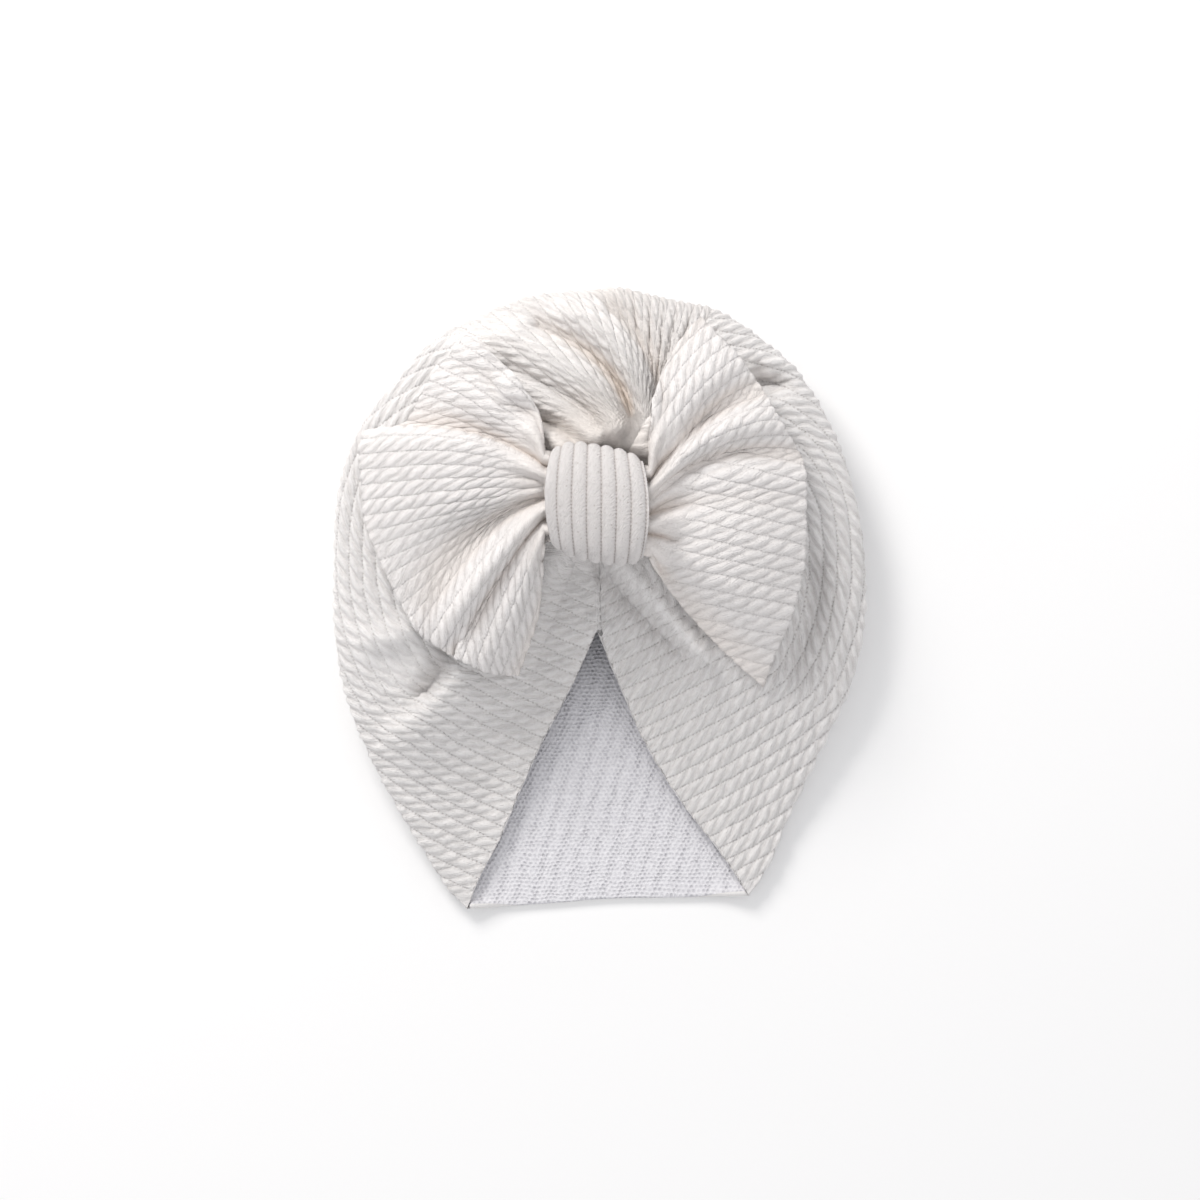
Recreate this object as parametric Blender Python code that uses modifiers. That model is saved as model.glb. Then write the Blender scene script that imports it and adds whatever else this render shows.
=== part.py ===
import bpy
import bmesh
import math
import numpy as np
from mathutils import Vector

# Driving dimensions, metres. The cap lies on its back. +X is its right as seen from above, +Y runs to the top
# of the crown and +Z is up.
capWidth = 0.1767
capLength = 0.2080
crownHeight = 0.0390
clothThickness = 0.0018
foldRadius = 0.0100
knotX = -0.0010
knotY = 0.0317

bowWidth = 0.1460
bowLength = 0.1200
bowCloth = 0.0013
bowLift = 0.0110
bowClearance = 0.0010
pinchLength = 0.0300
pinchGap = 0.0008

bandWidth = 0.0335
bandLength = 0.0385
bandDepth = 0.0230
bandCloth = 0.0022
bandCords = 7
bandSkew = 0.15
bandTaper = 0.12
cordRelief = 0.0009
bandSquareness = 0.90
seatGap = 0.0004
seatRadius = 0.0120
edgeDrop = 0.22
edgeReach = 0.0150

crownRows = 18
foldRows = 4
backRows = 2
hemColumns = 9
wingColumns = 11
foldSteps = 3
bandColumns = 3
bandAround = 22

# Outline seen from the front, anticlockwise from the right corner of the V to the left one.
# x is a share of half the width, y a share of half the length.
outlineRows = [
    {"x": 0.566, "y": -0.955}, {"x": 0.640, "y": -0.852}, {"x": 0.694, "y": -0.734}, {"x": 0.788, "y": -0.564},
    {"x": 0.867, "y": -0.416}, {"x": 0.943, "y": -0.284}, {"x": 0.983, "y": -0.145}, {"x": 0.999, "y": -0.008},
    {"x": 0.998, "y": 0.122}, {"x": 0.984, "y": 0.245}, {"x": 0.954, "y": 0.362}, {"x": 0.911, "y": 0.471},
    {"x": 0.859, "y": 0.574}, {"x": 0.795, "y": 0.669}, {"x": 0.720, "y": 0.756}, {"x": 0.623, "y": 0.824},
    {"x": 0.524, "y": 0.887}, {"x": 0.417, "y": 0.935}, {"x": 0.298, "y": 0.956}, {"x": 0.186, "y": 0.978},
    {"x": 0.075, "y": 0.999}, {"x": -0.040, "y": 0.993}, {"x": -0.153, "y": 0.986}, {"x": -0.267, "y": 0.974},
    {"x": -0.377, "y": 0.941}, {"x": -0.482, "y": 0.897}, {"x": -0.592, "y": 0.852}, {"x": -0.686, "y": 0.786},
    {"x": -0.765, "y": 0.704}, {"x": -0.849, "y": 0.621}, {"x": -0.920, "y": 0.526}, {"x": -0.964, "y": 0.418},
    {"x": -0.990, "y": 0.304}, {"x": -0.999, "y": 0.187}, {"x": -1.000, "y": 0.064}, {"x": -1.000, "y": -0.070},
    {"x": -0.983, "y": -0.211}, {"x": -0.939, "y": -0.357}, {"x": -0.867, "y": -0.503}, {"x": -0.773, "y": -0.655},
    {"x": -0.660, "y": -0.816}, {"x": -0.575, "y": -0.930}, {"x": -0.506, "y": -0.997},
]

# Lower edge of the back panel, from the left corner to the right corner.
hemRows = [
    {"x": -0.506, "y": -0.997}, {"x": -0.423, "y": -0.994}, {"x": -0.196, "y": -0.981}, {"x": 0.049, "y": -0.965},
    {"x": 0.294, "y": -0.962}, {"x": 0.483, "y": -0.958}, {"x": 0.566, "y": -0.955},
]

# Edges of the V opening, from the apex down to each corner, as shares of half the width and half the length.
leftEdgeRows = [
    {"x": -0.008, "y": -0.096}, {"x": -0.060, "y": -0.196}, {"x": -0.130, "y": -0.320}, {"x": -0.211, "y": -0.449},
    {"x": -0.294, "y": -0.603}, {"x": -0.377, "y": -0.769}, {"x": -0.450, "y": -0.885}, {"x": -0.506, "y": -0.997},
]
rightEdgeRows = [
    {"x": -0.008, "y": -0.096}, {"x": 0.030, "y": -0.190}, {"x": 0.090, "y": -0.310}, {"x": 0.150, "y": -0.430},
    {"x": 0.235, "y": -0.560}, {"x": 0.330, "y": -0.680}, {"x": 0.440, "y": -0.800}, {"x": 0.566, "y": -0.955},
]

# Height of the crown by direction from the knot. fold is the height of the side fold's widest point, shoulder is
# the height just inside the outline, both shares of crownHeight; fall is how early the height is lost.
sideRows = [
    {"angle": -111.0, "fold": 0.12, "shoulder": 0.16, "fall": 0.46},
    {"angle": -67.0, "fold": 0.12, "shoulder": 0.16, "fall": 0.46},
    {"angle": -45.0, "fold": 0.27, "shoulder": 0.42, "fall": 1.10},
    {"angle": -15.0, "fold": 0.38, "shoulder": 0.60, "fall": 1.35},
    {"angle": 30.0, "fold": 0.40, "shoulder": 0.64, "fall": 1.45},
    {"angle": 90.0, "fold": 0.36, "shoulder": 0.62, "fall": 1.45},
    {"angle": 150.0, "fold": 0.40, "shoulder": 0.64, "fall": 1.45},
    {"angle": 195.0, "fold": 0.38, "shoulder": 0.60, "fall": 1.35},
    {"angle": 225.0, "fold": 0.27, "shoulder": 0.42, "fall": 1.10},
]

# Pleats and dents of the crown. Each runs from start by way of bend to end (shares of half width and half length);
# lift is a share of crownHeight, up or down; near and far are its half widths, shares of half the width.
creaseRows = [
    {"name": "pleat A", "start": (0.150, 0.580), "bend": (0.045, 0.780), "end": (-0.110, 0.945),
     "lift": 0.17, "near": 0.055, "far": 0.095},
    {"name": "valley AB", "start": (0.120, 0.560), "bend": (0.000, 0.775), "end": (-0.270, 0.930),
     "lift": -0.16, "near": 0.062, "far": 0.068},
    {"name": "pleat B", "start": (0.040, 0.575), "bend": (-0.140, 0.755), "end": (-0.460, 0.870),
     "lift": 0.21, "near": 0.062, "far": 0.110},
    {"name": "valley BC", "start": (-0.030, 0.550), "bend": (-0.165, 0.665), "end": (-0.390, 0.775),
     "lift": -0.14, "near": 0.058, "far": 0.060},
    {"name": "pleat C", "start": (-0.080, 0.540), "bend": (-0.210, 0.620), "end": (-0.380, 0.700),
     "lift": 0.14, "near": 0.050, "far": 0.055},
    {"name": "valley E", "start": (0.185, 0.590), "bend": (0.135, 0.780), "end": (0.060, 0.945),
     "lift": -0.13, "near": 0.055, "far": 0.070},
    {"name": "lower roll", "start": (0.070, 0.105), "bend": (0.180, 0.005), "end": (0.350, -0.145),
     "lift": 0.16, "near": 0.048, "far": 0.046},
    {"name": "under roll", "start": (0.160, 0.100), "bend": (0.260, 0.000), "end": (0.380, -0.080),
     "lift": -0.08, "near": 0.042, "far": 0.042},
    {"name": "left dent", "start": (-0.580, -0.170), "bend": (-0.660, -0.270), "end": (-0.760, -0.340),
     "lift": -0.13, "near": 0.090, "far": 0.100},
    {"name": "left fold", "start": (-0.560, -0.230), "bend": (-0.640, -0.345), "end": (-0.840, -0.440),
     "lift": 0.07, "near": 0.085, "far": 0.100},
    {"name": "left ridge", "start": (-0.940, -0.100), "bend": (-0.850, -0.150), "end": (-0.700, -0.160),
     "lift": 0.08, "near": 0.070, "far": 0.060},
    {"name": "right dent", "start": (0.610, 0.700), "bend": (0.680, 0.700), "end": (0.760, 0.720),
     "lift": -0.22, "near": 0.050, "far": 0.050},
    {"name": "right hollow", "start": (0.790, 0.090), "bend": (0.800, -0.030), "end": (0.740, -0.180),
     "lift": -0.10, "near": 0.080, "far": 0.080},
]

# The bow's fold lines from its top edge to its bottom edge. pinch is the place across the pinch (-1 to 1), high says
# whether it is a ridge (1) or a valley (-1) there. Tips and bends are shares of half the bow's width and length from
# the knot; lift is the height above the crown at the tip and bend, a share of bowLift.
bowRows = [
    {"pinch": 1.00, "high": -0.55,
     "leftTip": (-0.589, 0.924), "leftBend": (-0.339, 0.647), "leftLift": (0.55, 0.80),
     "rightTip": (0.469, 1.033), "rightBend": (0.272, 0.652), "rightLift": (0.55, 0.80)},
    {"pinch": 0.84, "high": 0.80,
     "leftTip": (-0.746, 0.701), "leftBend": (-0.478, 0.516), "leftLift": (0.75, 1.15),
     "rightTip": (0.634, 0.815), "rightBend": (0.415, 0.571), "rightLift": (0.90, 1.25)},
    {"pinch": 0.66, "high": -0.85,
     "leftTip": (-0.879, 0.440), "leftBend": (-0.522, 0.380), "leftLift": (0.35, 0.30),
     "rightTip": (0.746, 0.636), "rightBend": (0.482, 0.457), "rightLift": (0.40, 0.35)},
    {"pinch": 0.48, "high": 0.90,
     "leftTip": (-1.062, 0.375), "leftBend": (-0.600, 0.345), "leftLift": (1.00, 1.45),
     "rightTip": (0.817, 0.473), "rightBend": (0.527, 0.375), "rightLift": (0.95, 1.45)},
    {"pinch": 0.30, "high": 0.10,
     "leftTip": (-1.062, 0.092), "leftBend": (-0.590, 0.136), "leftLift": (0.95, 1.35),
     "rightTip": (0.920, 0.272), "rightBend": (0.527, 0.261), "rightLift": (0.50, 0.65)},
    {"pinch": 0.12, "high": -0.10,
     "leftTip": (-1.036, -0.152), "leftBend": (-0.567, -0.010), "leftLift": (0.85, 1.05),
     "rightTip": (0.942, 0.147), "rightBend": (0.549, 0.158), "rightLift": (0.80, 1.15)},
    {"pinch": -0.08, "high": -0.90,
     "leftTip": (-0.840, -0.660), "leftBend": (-0.531, -0.180), "leftLift": (0.70, 0.30),
     "rightTip": (0.942, -0.005), "rightBend": (0.571, 0.038), "rightLift": (0.80, 1.10)},
    {"pinch": -0.30, "high": 0.85,
     "leftTip": (-0.723, -0.777), "leftBend": (-0.487, -0.353), "leftLift": (0.80, 1.25),
     "rightTip": (0.937, -0.299), "rightBend": (0.558, -0.125), "rightLift": (0.90, 1.30)},
    {"pinch": -0.50, "high": -0.70,
     "leftTip": (-0.634, -0.853), "leftBend": (-0.455, -0.428), "leftLift": (0.55, 0.55),
     "rightTip": (0.888, -0.580), "rightBend": (0.513, -0.300), "rightLift": (0.88, 1.25)},
    {"pinch": -0.74, "high": 0.70,
     "leftTip": (-0.490, -0.925), "leftBend": (-0.370, -0.530), "leftLift": (0.70, 1.05),
     "rightTip": (0.812, -0.820), "rightBend": (0.460, -0.435), "rightLift": (0.75, 1.05)},
    {"pinch": -1.00, "high": -0.30,
     "leftTip": (-0.366, -0.940), "leftBend": (-0.254, -0.516), "leftLift": (0.35, 0.45),
     "rightTip": (0.759, -1.010), "rightBend": (0.415, -0.603), "rightLift": (0.35, 0.45)},
]


def clearScene():
    for item in list(bpy.data.objects):
        bpy.data.objects.remove(item, do_unlink=True)


def catmull(values, count, closed=False):
    # Points along a smooth line through every row, count steps between rows.
    rows = np.asarray(values, dtype=float)
    total = len(rows)
    spans = total if closed else total - 1
    result = []
    for span in range(spans):
        if closed:
            p0, p1, p2, p3 = (rows[(span + k) % total] for k in (-1, 0, 1, 2))
        else:
            p1 = rows[span]
            p2 = rows[span + 1]
            p0 = rows[span - 1] if span > 0 else 2 * p1 - p2
            p3 = rows[span + 2] if span + 2 < total else 2 * p2 - p1
        for step in range(count):
            t = step / count
            result.append(0.5 * (2 * p1 + (p2 - p0) * t + (2 * p0 - 5 * p1 + 4 * p2 - p3) * t * t
                                 + (3 * p1 - p0 - 3 * p2 + p3) * t * t * t))
    if not closed:
        result.append(rows[-1])
    return np.array(result)


def smoothStep(low, high, value):
    t = np.clip((value - low) / (high - low), 0.0, 1.0)
    return t * t * (3 - 2 * t)


def plan(row):
    return (row["x"] * capWidth / 2, row["y"] * capLength / 2)


def polarLine(rows):
    # Direction and reach from the knot for a line of plan points.
    points = catmull([plan(row) for row in rows], 6)
    angle = np.unwrap(np.arctan2(points[:, 1] - knotY, points[:, 0] - knotX))
    reach = np.hypot(points[:, 0] - knotX, points[:, 1] - knotY)
    return angle, reach


sideAngle, sideReach = polarLine(outlineRows)
hemAngle, hemReach = polarLine(hemRows)
hemAngle = hemAngle - 2 * math.pi * round((hemAngle[-1] - sideAngle[0]) / (2 * math.pi))
rightCorner = sideAngle[0]
leftCorner = sideAngle[-1]


def wrapAngle(angle):
    # Brings a direction into the turn that starts at the left corner's direction below the cap.
    base = leftCorner - 2 * math.pi
    return base + np.mod(angle - base, 2 * math.pi)


def outlineReach(angle):
    turn = wrapAngle(angle)
    side = np.interp(turn, sideAngle, sideReach)
    hem = np.interp(turn, hemAngle, hemReach)
    return np.where(turn < rightCorner, hem, side)


def heightReach(angle, gap):
    # The outline's reach, rounded off at the corners of the V for the points well inside it.
    exact = outlineReach(angle)
    soft = np.mean([outlineReach(angle + math.radians(turn)) for turn in range(-20, 21, 4)], axis=0)
    inside = 1 - smoothStep(0.45, 0.95, gap / exact)
    return exact + (soft - exact) * inside


def sideValue(angle, name):
    # A column of the side table, read smoothly round the cap.
    turns = np.degrees(wrapAngle(angle))
    turns = np.where(turns < sideRows[0]["angle"], turns + 360, turns)
    keys = [row["angle"] for row in sideRows] + [sideRows[0]["angle"] + 360]
    values = [row[name] for row in sideRows] + [sideRows[0][name]]
    fine = catmull(np.column_stack([keys, values]), 8)
    return np.interp(turns, fine[:, 0], fine[:, 1])


def creasePath(row):
    half = np.array([capWidth / 2, capLength / 2])
    p0, p1, p2 = (np.array(row[key]) * half for key in ("start", "bend", "end"))
    t = np.linspace(0, 1, 25)[:, None]
    mid = 2 * p1 - 0.5 * (p0 + p2)
    return (1 - t) ** 2 * p0 + 2 * t * (1 - t) * mid + t ** 2 * p2


creasePaths = [creasePath(row) for row in creaseRows]


def lineGap(x, y, path):
    # Distance to a line of plan points, and the share of the way along it.
    best = np.full(np.shape(x), 1e9)
    along = np.zeros(np.shape(x))
    for k in range(len(path) - 1):
        run = path[k + 1] - path[k]
        t = np.clip(((x - path[k, 0]) * run[0] + (y - path[k, 1]) * run[1]) / run.dot(run), 0, 1)
        gap = np.hypot(x - path[k, 0] - t * run[0], y - path[k, 1] - t * run[1])
        along = np.where(gap < best, (k + t) / (len(path) - 1), along)
        best = np.minimum(best, gap)
    return best, along


def creaseLift(x, y, onlyUp=False):
    total = np.zeros(np.shape(x))
    for row, path in zip(creaseRows, creasePaths):
        if onlyUp and row["lift"] < 0:
            continue
        gap, along = lineGap(x, y, path)
        width = (row["near"] + (row["far"] - row["near"]) * along) * capWidth / 2
        total += row["lift"] * crownHeight * np.exp(-(gap / width) ** 2)
    return total


def softReach(gap):
    # Distance from the knot, flattened at first so the band has a level seat.
    return np.sqrt(gap ** 2 + seatRadius ** 2) - seatRadius


def smoothTop(x, y):
    # Height of the crown's front without its creases.
    angle = np.arctan2(y - knotY, x - knotX)
    gap = np.hypot(x - knotX, y - knotY)
    share = np.clip(softReach(gap) / softReach(heightReach(angle, gap)), 0.0, 1.0)
    fold = sideValue(angle, "fold") * crownHeight
    shoulder = sideValue(angle, "shoulder") * crownHeight
    fall = sideValue(angle, "fall")
    level = crownHeight + (shoulder - crownHeight) * share ** fall
    return fold + (level - fold) * np.sqrt(np.clip(1 - share ** 3.0, 0, 1)), share


def crownTop(x, y, onlyUp=False):
    base, share = smoothTop(x, y)
    fade = 1 - smoothStep(0.80, 1.0, share)
    return base + creaseLift(x, y, onlyUp) * fade


def edgeSag(x, y):
    # The panels sag towards the edges of the V, most of all half way down.
    sag = np.zeros(np.shape(x))
    for rows in (leftEdgeRows, rightEdgeRows):
        gap, along = lineGap(x, y, catmull([plan(row) for row in rows], 2))
        sag = np.maximum(sag, np.exp(-(gap / edgeReach) ** 2) * np.sin(math.pi * np.clip(along, 0, 1)) ** 0.8)
    return 1 - edgeDrop * sag


def columnAngles():
    # Directions of the front's columns, closer together over the gathered top.
    keys = [math.degrees(rightCorner), -40, 20, 58, 68, 138, 150, 210, math.degrees(leftCorner)]
    steps = [4, 7, 6, 3, 27, 3, 7, 6]
    angles = []
    for start, stop, count in zip(keys[:-1], keys[1:], steps):
        angles += list(np.linspace(start, stop, count, endpoint=False))
    return np.radians(angles + [keys[-1]])


def edgeLine(rows, shares):
    # Plan points along the centre seam and one edge of the V, at the shares of the way from knot to corner.
    edge = catmull([plan(row) for row in rows], 6)
    line = np.vstack([[[knotX, knotY]], edge])
    steps = np.hypot(*np.diff(line, axis=0).T)
    seam = steps[0]
    seamShare = seam / (seam + steps[1:].sum())
    run = np.concatenate([[0], [seamShare], seamShare + (1 - seamShare) * np.cumsum(steps[1:]) / steps[1:].sum()])
    return np.column_stack([np.interp(shares, run, line[:, 0]), np.interp(shares, run, line[:, 1])]), seamShare


def frontGrid():
    angles = columnAngles()
    bend = np.linspace(0, 1, crownRows + 1)
    seamShare = edgeLine(rightEdgeRows, np.array([0.0]))[1]
    leftShare = edgeLine(leftEdgeRows, np.array([0.0]))[1]
    shares = 1 - (1 - bend) ** 1.45
    apexRow = int(np.argmin(abs(shares - seamShare)))
    shares[apexRow] = seamShare
    leftShares = np.where(shares <= seamShare, shares * leftShare / seamShare,
                          leftShare + (shares - seamShare) * (1 - leftShare) / (1 - seamShare))
    rightLine = edgeLine(rightEdgeRows, shares)[0]
    leftLine = edgeLine(leftEdgeRows, leftShares)[0]
    reach = outlineReach(angles)
    reach[0] = sideReach[0]
    reach[-1] = sideReach[-1]
    grid = np.zeros((len(angles), crownRows + 1, 2))
    grid[:, :, 0] = knotX + np.cos(angles)[:, None] * reach[:, None] * shares
    grid[:, :, 1] = knotY + np.sin(angles)[:, None] * reach[:, None] * shares
    rightWeight = 1 - smoothStep(0, math.radians(70), angles - angles[0])
    leftWeight = 1 - smoothStep(0, math.radians(70), angles[-1] - angles)
    grid += rightWeight[:, None, None] * (rightLine - grid[0])[None]
    grid += leftWeight[:, None, None] * (leftLine - grid[-1])[None]
    top = crownTop(grid[:, :, 0], grid[:, :, 1]) * edgeSag(grid[:, :, 0], grid[:, :, 1])
    top[:, -1] = sideValue(angles, "fold") * crownHeight
    return angles, np.dstack([grid, top]), apexRow


def addGrid(mesh, points):
    # Quads over a grid of points; columns first, then rows.
    verts = [[mesh.verts.new(Vector(point)) for point in column] for column in points]
    for i in range(len(verts) - 1):
        for j in range(len(verts[0]) - 1):
            mesh.faces.new((verts[i][j], verts[i + 1][j], verts[i + 1][j + 1], verts[i][j + 1]))


def backRing(angles, reach, edgeHeight):
    # The fold under the outline, then the flat back panel in to the point below the knot.
    rows = []
    for k in range(foldRows + 1):
        turn = math.pi / 2 * k / foldRows
        inset = foldRadius * (1 - math.cos(turn))
        rows.append((1 - inset / reach, edgeHeight * (1 - math.sin(turn))))
    edge = 1 - foldRadius / reach
    for k in range(1, backRows + 1):
        rows.append((edge * (1 - k / backRows), np.zeros_like(reach)))
    grid = np.zeros((len(angles), len(rows), 3))
    for k, (share, height) in enumerate(rows):
        grid[:, k, 0] = knotX + np.cos(angles) * reach * share
        grid[:, k, 1] = knotY + np.sin(angles) * reach * share
        grid[:, k, 2] = height
    return grid


def finishMesh(mesh, name, material, thickness, offset):
    bmesh.ops.remove_doubles(mesh, verts=mesh.verts, dist=0.00005)
    bmesh.ops.dissolve_degenerate(mesh, edges=mesh.edges, dist=0.00005)
    bmesh.ops.recalc_face_normals(mesh, faces=mesh.faces)
    data = bpy.data.meshes.new(name)
    mesh.to_mesh(data)
    mesh.free()
    item = bpy.data.objects.new(name, data)
    bpy.data.collections["baby_turban"].objects.link(item)
    data.materials.append(material)
    for face in data.polygons:
        face.use_smooth = True
    wall = item.modifiers.new("cloth", "SOLIDIFY")
    wall.thickness = thickness
    wall.offset = offset
    wall.use_even_offset = False
    return item


def knitMaterial(name, colour):
    material = bpy.data.materials.new(name)
    material.use_nodes = True
    shader = material.node_tree.nodes["Principled BSDF"]
    shader.inputs["Base Color"].default_value = (*colour, 1.0)
    shader.inputs["Roughness"].default_value = 0.9
    shader.inputs["Metallic"].default_value = 0.0
    return material


def makeCrown():
    angles, front, apexRow = frontGrid()
    mesh = bmesh.new()
    addGrid(mesh, front)
    reach = outlineReach(angles)
    reach[0] = sideReach[0]
    reach[-1] = sideReach[-1]
    fold = sideValue(angles, "fold") * crownHeight
    addGrid(mesh, backRing(angles, reach, fold)[:, ::-1])
    hemTurns = np.linspace(leftCorner - 2 * math.pi, rightCorner, hemColumns)
    hemShare = np.linspace(0, 1, hemColumns)
    hemSpan = np.interp(hemTurns, hemAngle, hemReach)
    curl = np.maximum(np.exp(-(hemShare / 0.10) ** 2), np.exp(-((1 - hemShare) / 0.10) ** 2))
    hemFold = np.where(hemShare < 0.5, fold[-1], fold[0]) * curl
    addGrid(mesh, backRing(hemTurns, hemSpan, hemFold)[:, ::-1])
    return finishMesh(mesh, "crown", knitMaterial("crown_knit", (0.90, 0.87, 0.82)), clothThickness, -1.0)


def bandCurve(share):
    # Half height of the band's loop at a share of its half length, as a share of its half depth.
    turn = math.acos(min(1.0, share) ** (1 / bandSquareness))
    return math.sin(turn) ** bandSquareness


def bowGrid():
    side = {"left": -1, "right": 1}
    half = np.array([bowWidth / 2, bowLength / 2])
    knot = np.array([knotX, knotY])
    seat = float(crownTop(np.array([knotX]), np.array([knotY]))[0])
    middle = seat + seatGap + bandDepth / 2
    inner = (bandLength / 2 - bandCloth - cordRelief, bandDepth / 2 - bandCloth - cordRelief)
    pinch = catmull([(row["pinch"], row["high"]) for row in bowRows], foldSteps)
    room = np.array([bandCurve(abs(y) * pinchLength / 2 / inner[0]) for y in pinch[:, 0]]) * inner[1]
    pinch = np.column_stack([pinch[:, 0] * pinchLength / 2, pinch[:, 1] * (room - bowCloth / 2 - pinchGap)])
    wings = []
    for name, sign in side.items():
        tip = catmull([(*(np.array(row[name + "Tip"]) * half), row[name + "Lift"][0] * bowLift)
                       for row in bowRows], foldSteps)
        bend = catmull([(*(np.array(row[name + "Bend"]) * half), row[name + "Lift"][1] * bowLift)
                        for row in bowRows], foldSteps)
        columns = []
        for k in range(wingColumns + 1):
            t = k / wingColumns
            skewed = pinch[:, 0] - sign * bandSkew * bandWidth / 2
            start = np.column_stack([np.full(len(pinch), sign * (bandWidth / 2 + 0.0006)), skewed])
            mid = 2 * bend[:, :2] - 0.5 * (start + tip[:, :2])
            plane = (1 - t) ** 2 * start + 2 * t * (1 - t) * mid + t * t * tip[:, :2]
            plane[:, 0] = sign * np.maximum(sign * plane[:, 0], bandWidth / 2 + 0.0006 + 0.004 * t)
            plane = plane + knot
            ground = crownTop(plane[:, 0], plane[:, 1], True)
            lift = bend[:, 2] * 4 * t * (1 - t) + tip[:, 2] * t * (2 * t - 1)
            wingHeight = ground + bowCloth / 2 + bowClearance + np.maximum(lift, 0)
            leave = smoothStep(0.0, 0.42, t)
            height = (middle + pinch[:, 1]) * (1 - leave) + wingHeight * leave
            columns.append(np.column_stack([plane, height]))
        wings.append(columns)
    return np.array(wings[0][::-1] + wings[1])


def makeBow():
    mesh = bmesh.new()
    addGrid(mesh, bowGrid())
    return finishMesh(mesh, "bow", knitMaterial("bow_knit", (0.92, 0.89, 0.84)), bowCloth, 0.0)


def makeBand():
    seat = float(crownTop(np.array([knotX]), np.array([knotY]))[0])
    centre = np.array([knotX, knotY, seat + seatGap + bandDepth / 2])
    columns = bandCords * bandColumns
    mesh = bmesh.new()
    points = []
    for i in range(columns + 1):
        across = i / columns - 0.5
        wave = cordRelief * (abs(math.cos(math.pi * bandCords * (across + 0.5))) - 1)
        rim = -0.0012 * (2 * abs(across)) ** 6
        ring = []
        for k in range(bandAround):
            turn = 2 * math.pi * k / bandAround
            c = math.copysign(abs(math.cos(turn)) ** bandSquareness, math.cos(turn))
            s = math.copysign(abs(math.sin(turn)) ** bandSquareness, math.sin(turn))
            wide = across * bandWidth * (1 - bandTaper * (1 - c) / 2 * (1 - c) / 2)
            long = c * (bandLength / 2 + wave + rim) - bandSkew * across * bandWidth
            ring.append((wide, long, s * (bandDepth / 2 + wave + rim)))
        points.append([centre + np.array(point) for point in ring + ring[:1]])
    addGrid(mesh, points)
    return finishMesh(mesh, "knot_band", knitMaterial("band_knit", (0.91, 0.88, 0.83)), bandCloth, -1.0)


def main():
    clearScene()
    collection = bpy.data.collections.new("baby_turban")
    bpy.context.scene.collection.children.link(collection)
    makeCrown()
    makeBow()
    makeBand()


main()
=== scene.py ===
import math

import bpy
import numpy as np
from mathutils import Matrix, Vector


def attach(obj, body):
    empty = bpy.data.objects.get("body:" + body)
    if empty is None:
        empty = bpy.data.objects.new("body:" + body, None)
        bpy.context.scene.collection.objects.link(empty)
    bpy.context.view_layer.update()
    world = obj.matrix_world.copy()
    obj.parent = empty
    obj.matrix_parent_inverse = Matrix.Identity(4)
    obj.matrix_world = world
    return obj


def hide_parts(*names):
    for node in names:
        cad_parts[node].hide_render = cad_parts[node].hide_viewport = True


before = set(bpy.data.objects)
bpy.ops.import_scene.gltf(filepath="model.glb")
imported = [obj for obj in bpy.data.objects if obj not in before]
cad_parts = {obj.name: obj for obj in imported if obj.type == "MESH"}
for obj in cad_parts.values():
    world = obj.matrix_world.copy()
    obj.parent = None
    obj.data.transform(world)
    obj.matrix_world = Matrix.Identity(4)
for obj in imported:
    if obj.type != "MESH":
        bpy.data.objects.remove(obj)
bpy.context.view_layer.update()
scene = bpy.context.scene
print("frame loaded")


# Lines, tables and meshes that every piece uses.

def catmull(values, count):
    # a smooth line through every row, count steps between rows
    rows = np.asarray(values, dtype=float)
    result = []
    for span in range(len(rows) - 1):
        p1, p2 = rows[span], rows[span + 1]
        p0 = rows[span - 1] if span > 0 else 2 * p1 - p2
        p3 = rows[span + 2] if span + 2 < len(rows) else 2 * p2 - p1
        for step in range(count):
            t = step / count
            result.append(0.5 * (2 * p1 + (p2 - p0) * t + (2 * p0 - 5 * p1 + 4 * p2 - p3) * t * t
                                 + (3 * p1 - p0 - 3 * p2 + p3) * t * t * t))
    result.append(rows[-1])
    return np.array(result)


def smoothStep(low, high, value):
    t = np.clip((value - low) / (high - low), 0.0, 1.0)
    return t * t * (3 - 2 * t)


def lineGap(x, y, path):
    # distance to a plan line, the share of the way along it, and the side of it (1 is left)
    best = np.full(np.shape(x), 1e9)
    along = np.zeros(np.shape(x))
    side = np.ones(np.shape(x))
    for k in range(len(path) - 1):
        run = path[k + 1] - path[k]
        t = np.clip(((x - path[k, 0]) * run[0] + (y - path[k, 1]) * run[1]) / run.dot(run), 0, 1)
        dx, dy = x - path[k, 0] - t * run[0], y - path[k, 1] - t * run[1]
        gap = np.hypot(dx, dy)
        near = gap < best
        along = np.where(near, (k + t) / (len(path) - 1), along)
        side = np.where(near, np.sign(run[0] * dy - run[1] * dx), side)
        best = np.minimum(best, gap)
    return best, along, side


def bendThrough(start, bend, end, t):
    # points of a curve from start to end that passes through bend at its half
    mid = 2 * bend - 0.5 * (start + end)
    return (1 - t) ** 2 * start + 2 * t * (1 - t) * mid + t ** 2 * end


def runLength(grid, axis):
    # length of the way along one axis of a grid of points
    steps = np.linalg.norm(np.diff(grid, axis=axis), axis=-1)
    none = np.zeros_like(np.take(steps, [0], axis=axis))
    return np.cumsum(np.concatenate([none, steps], axis=axis), axis=axis)


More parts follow.
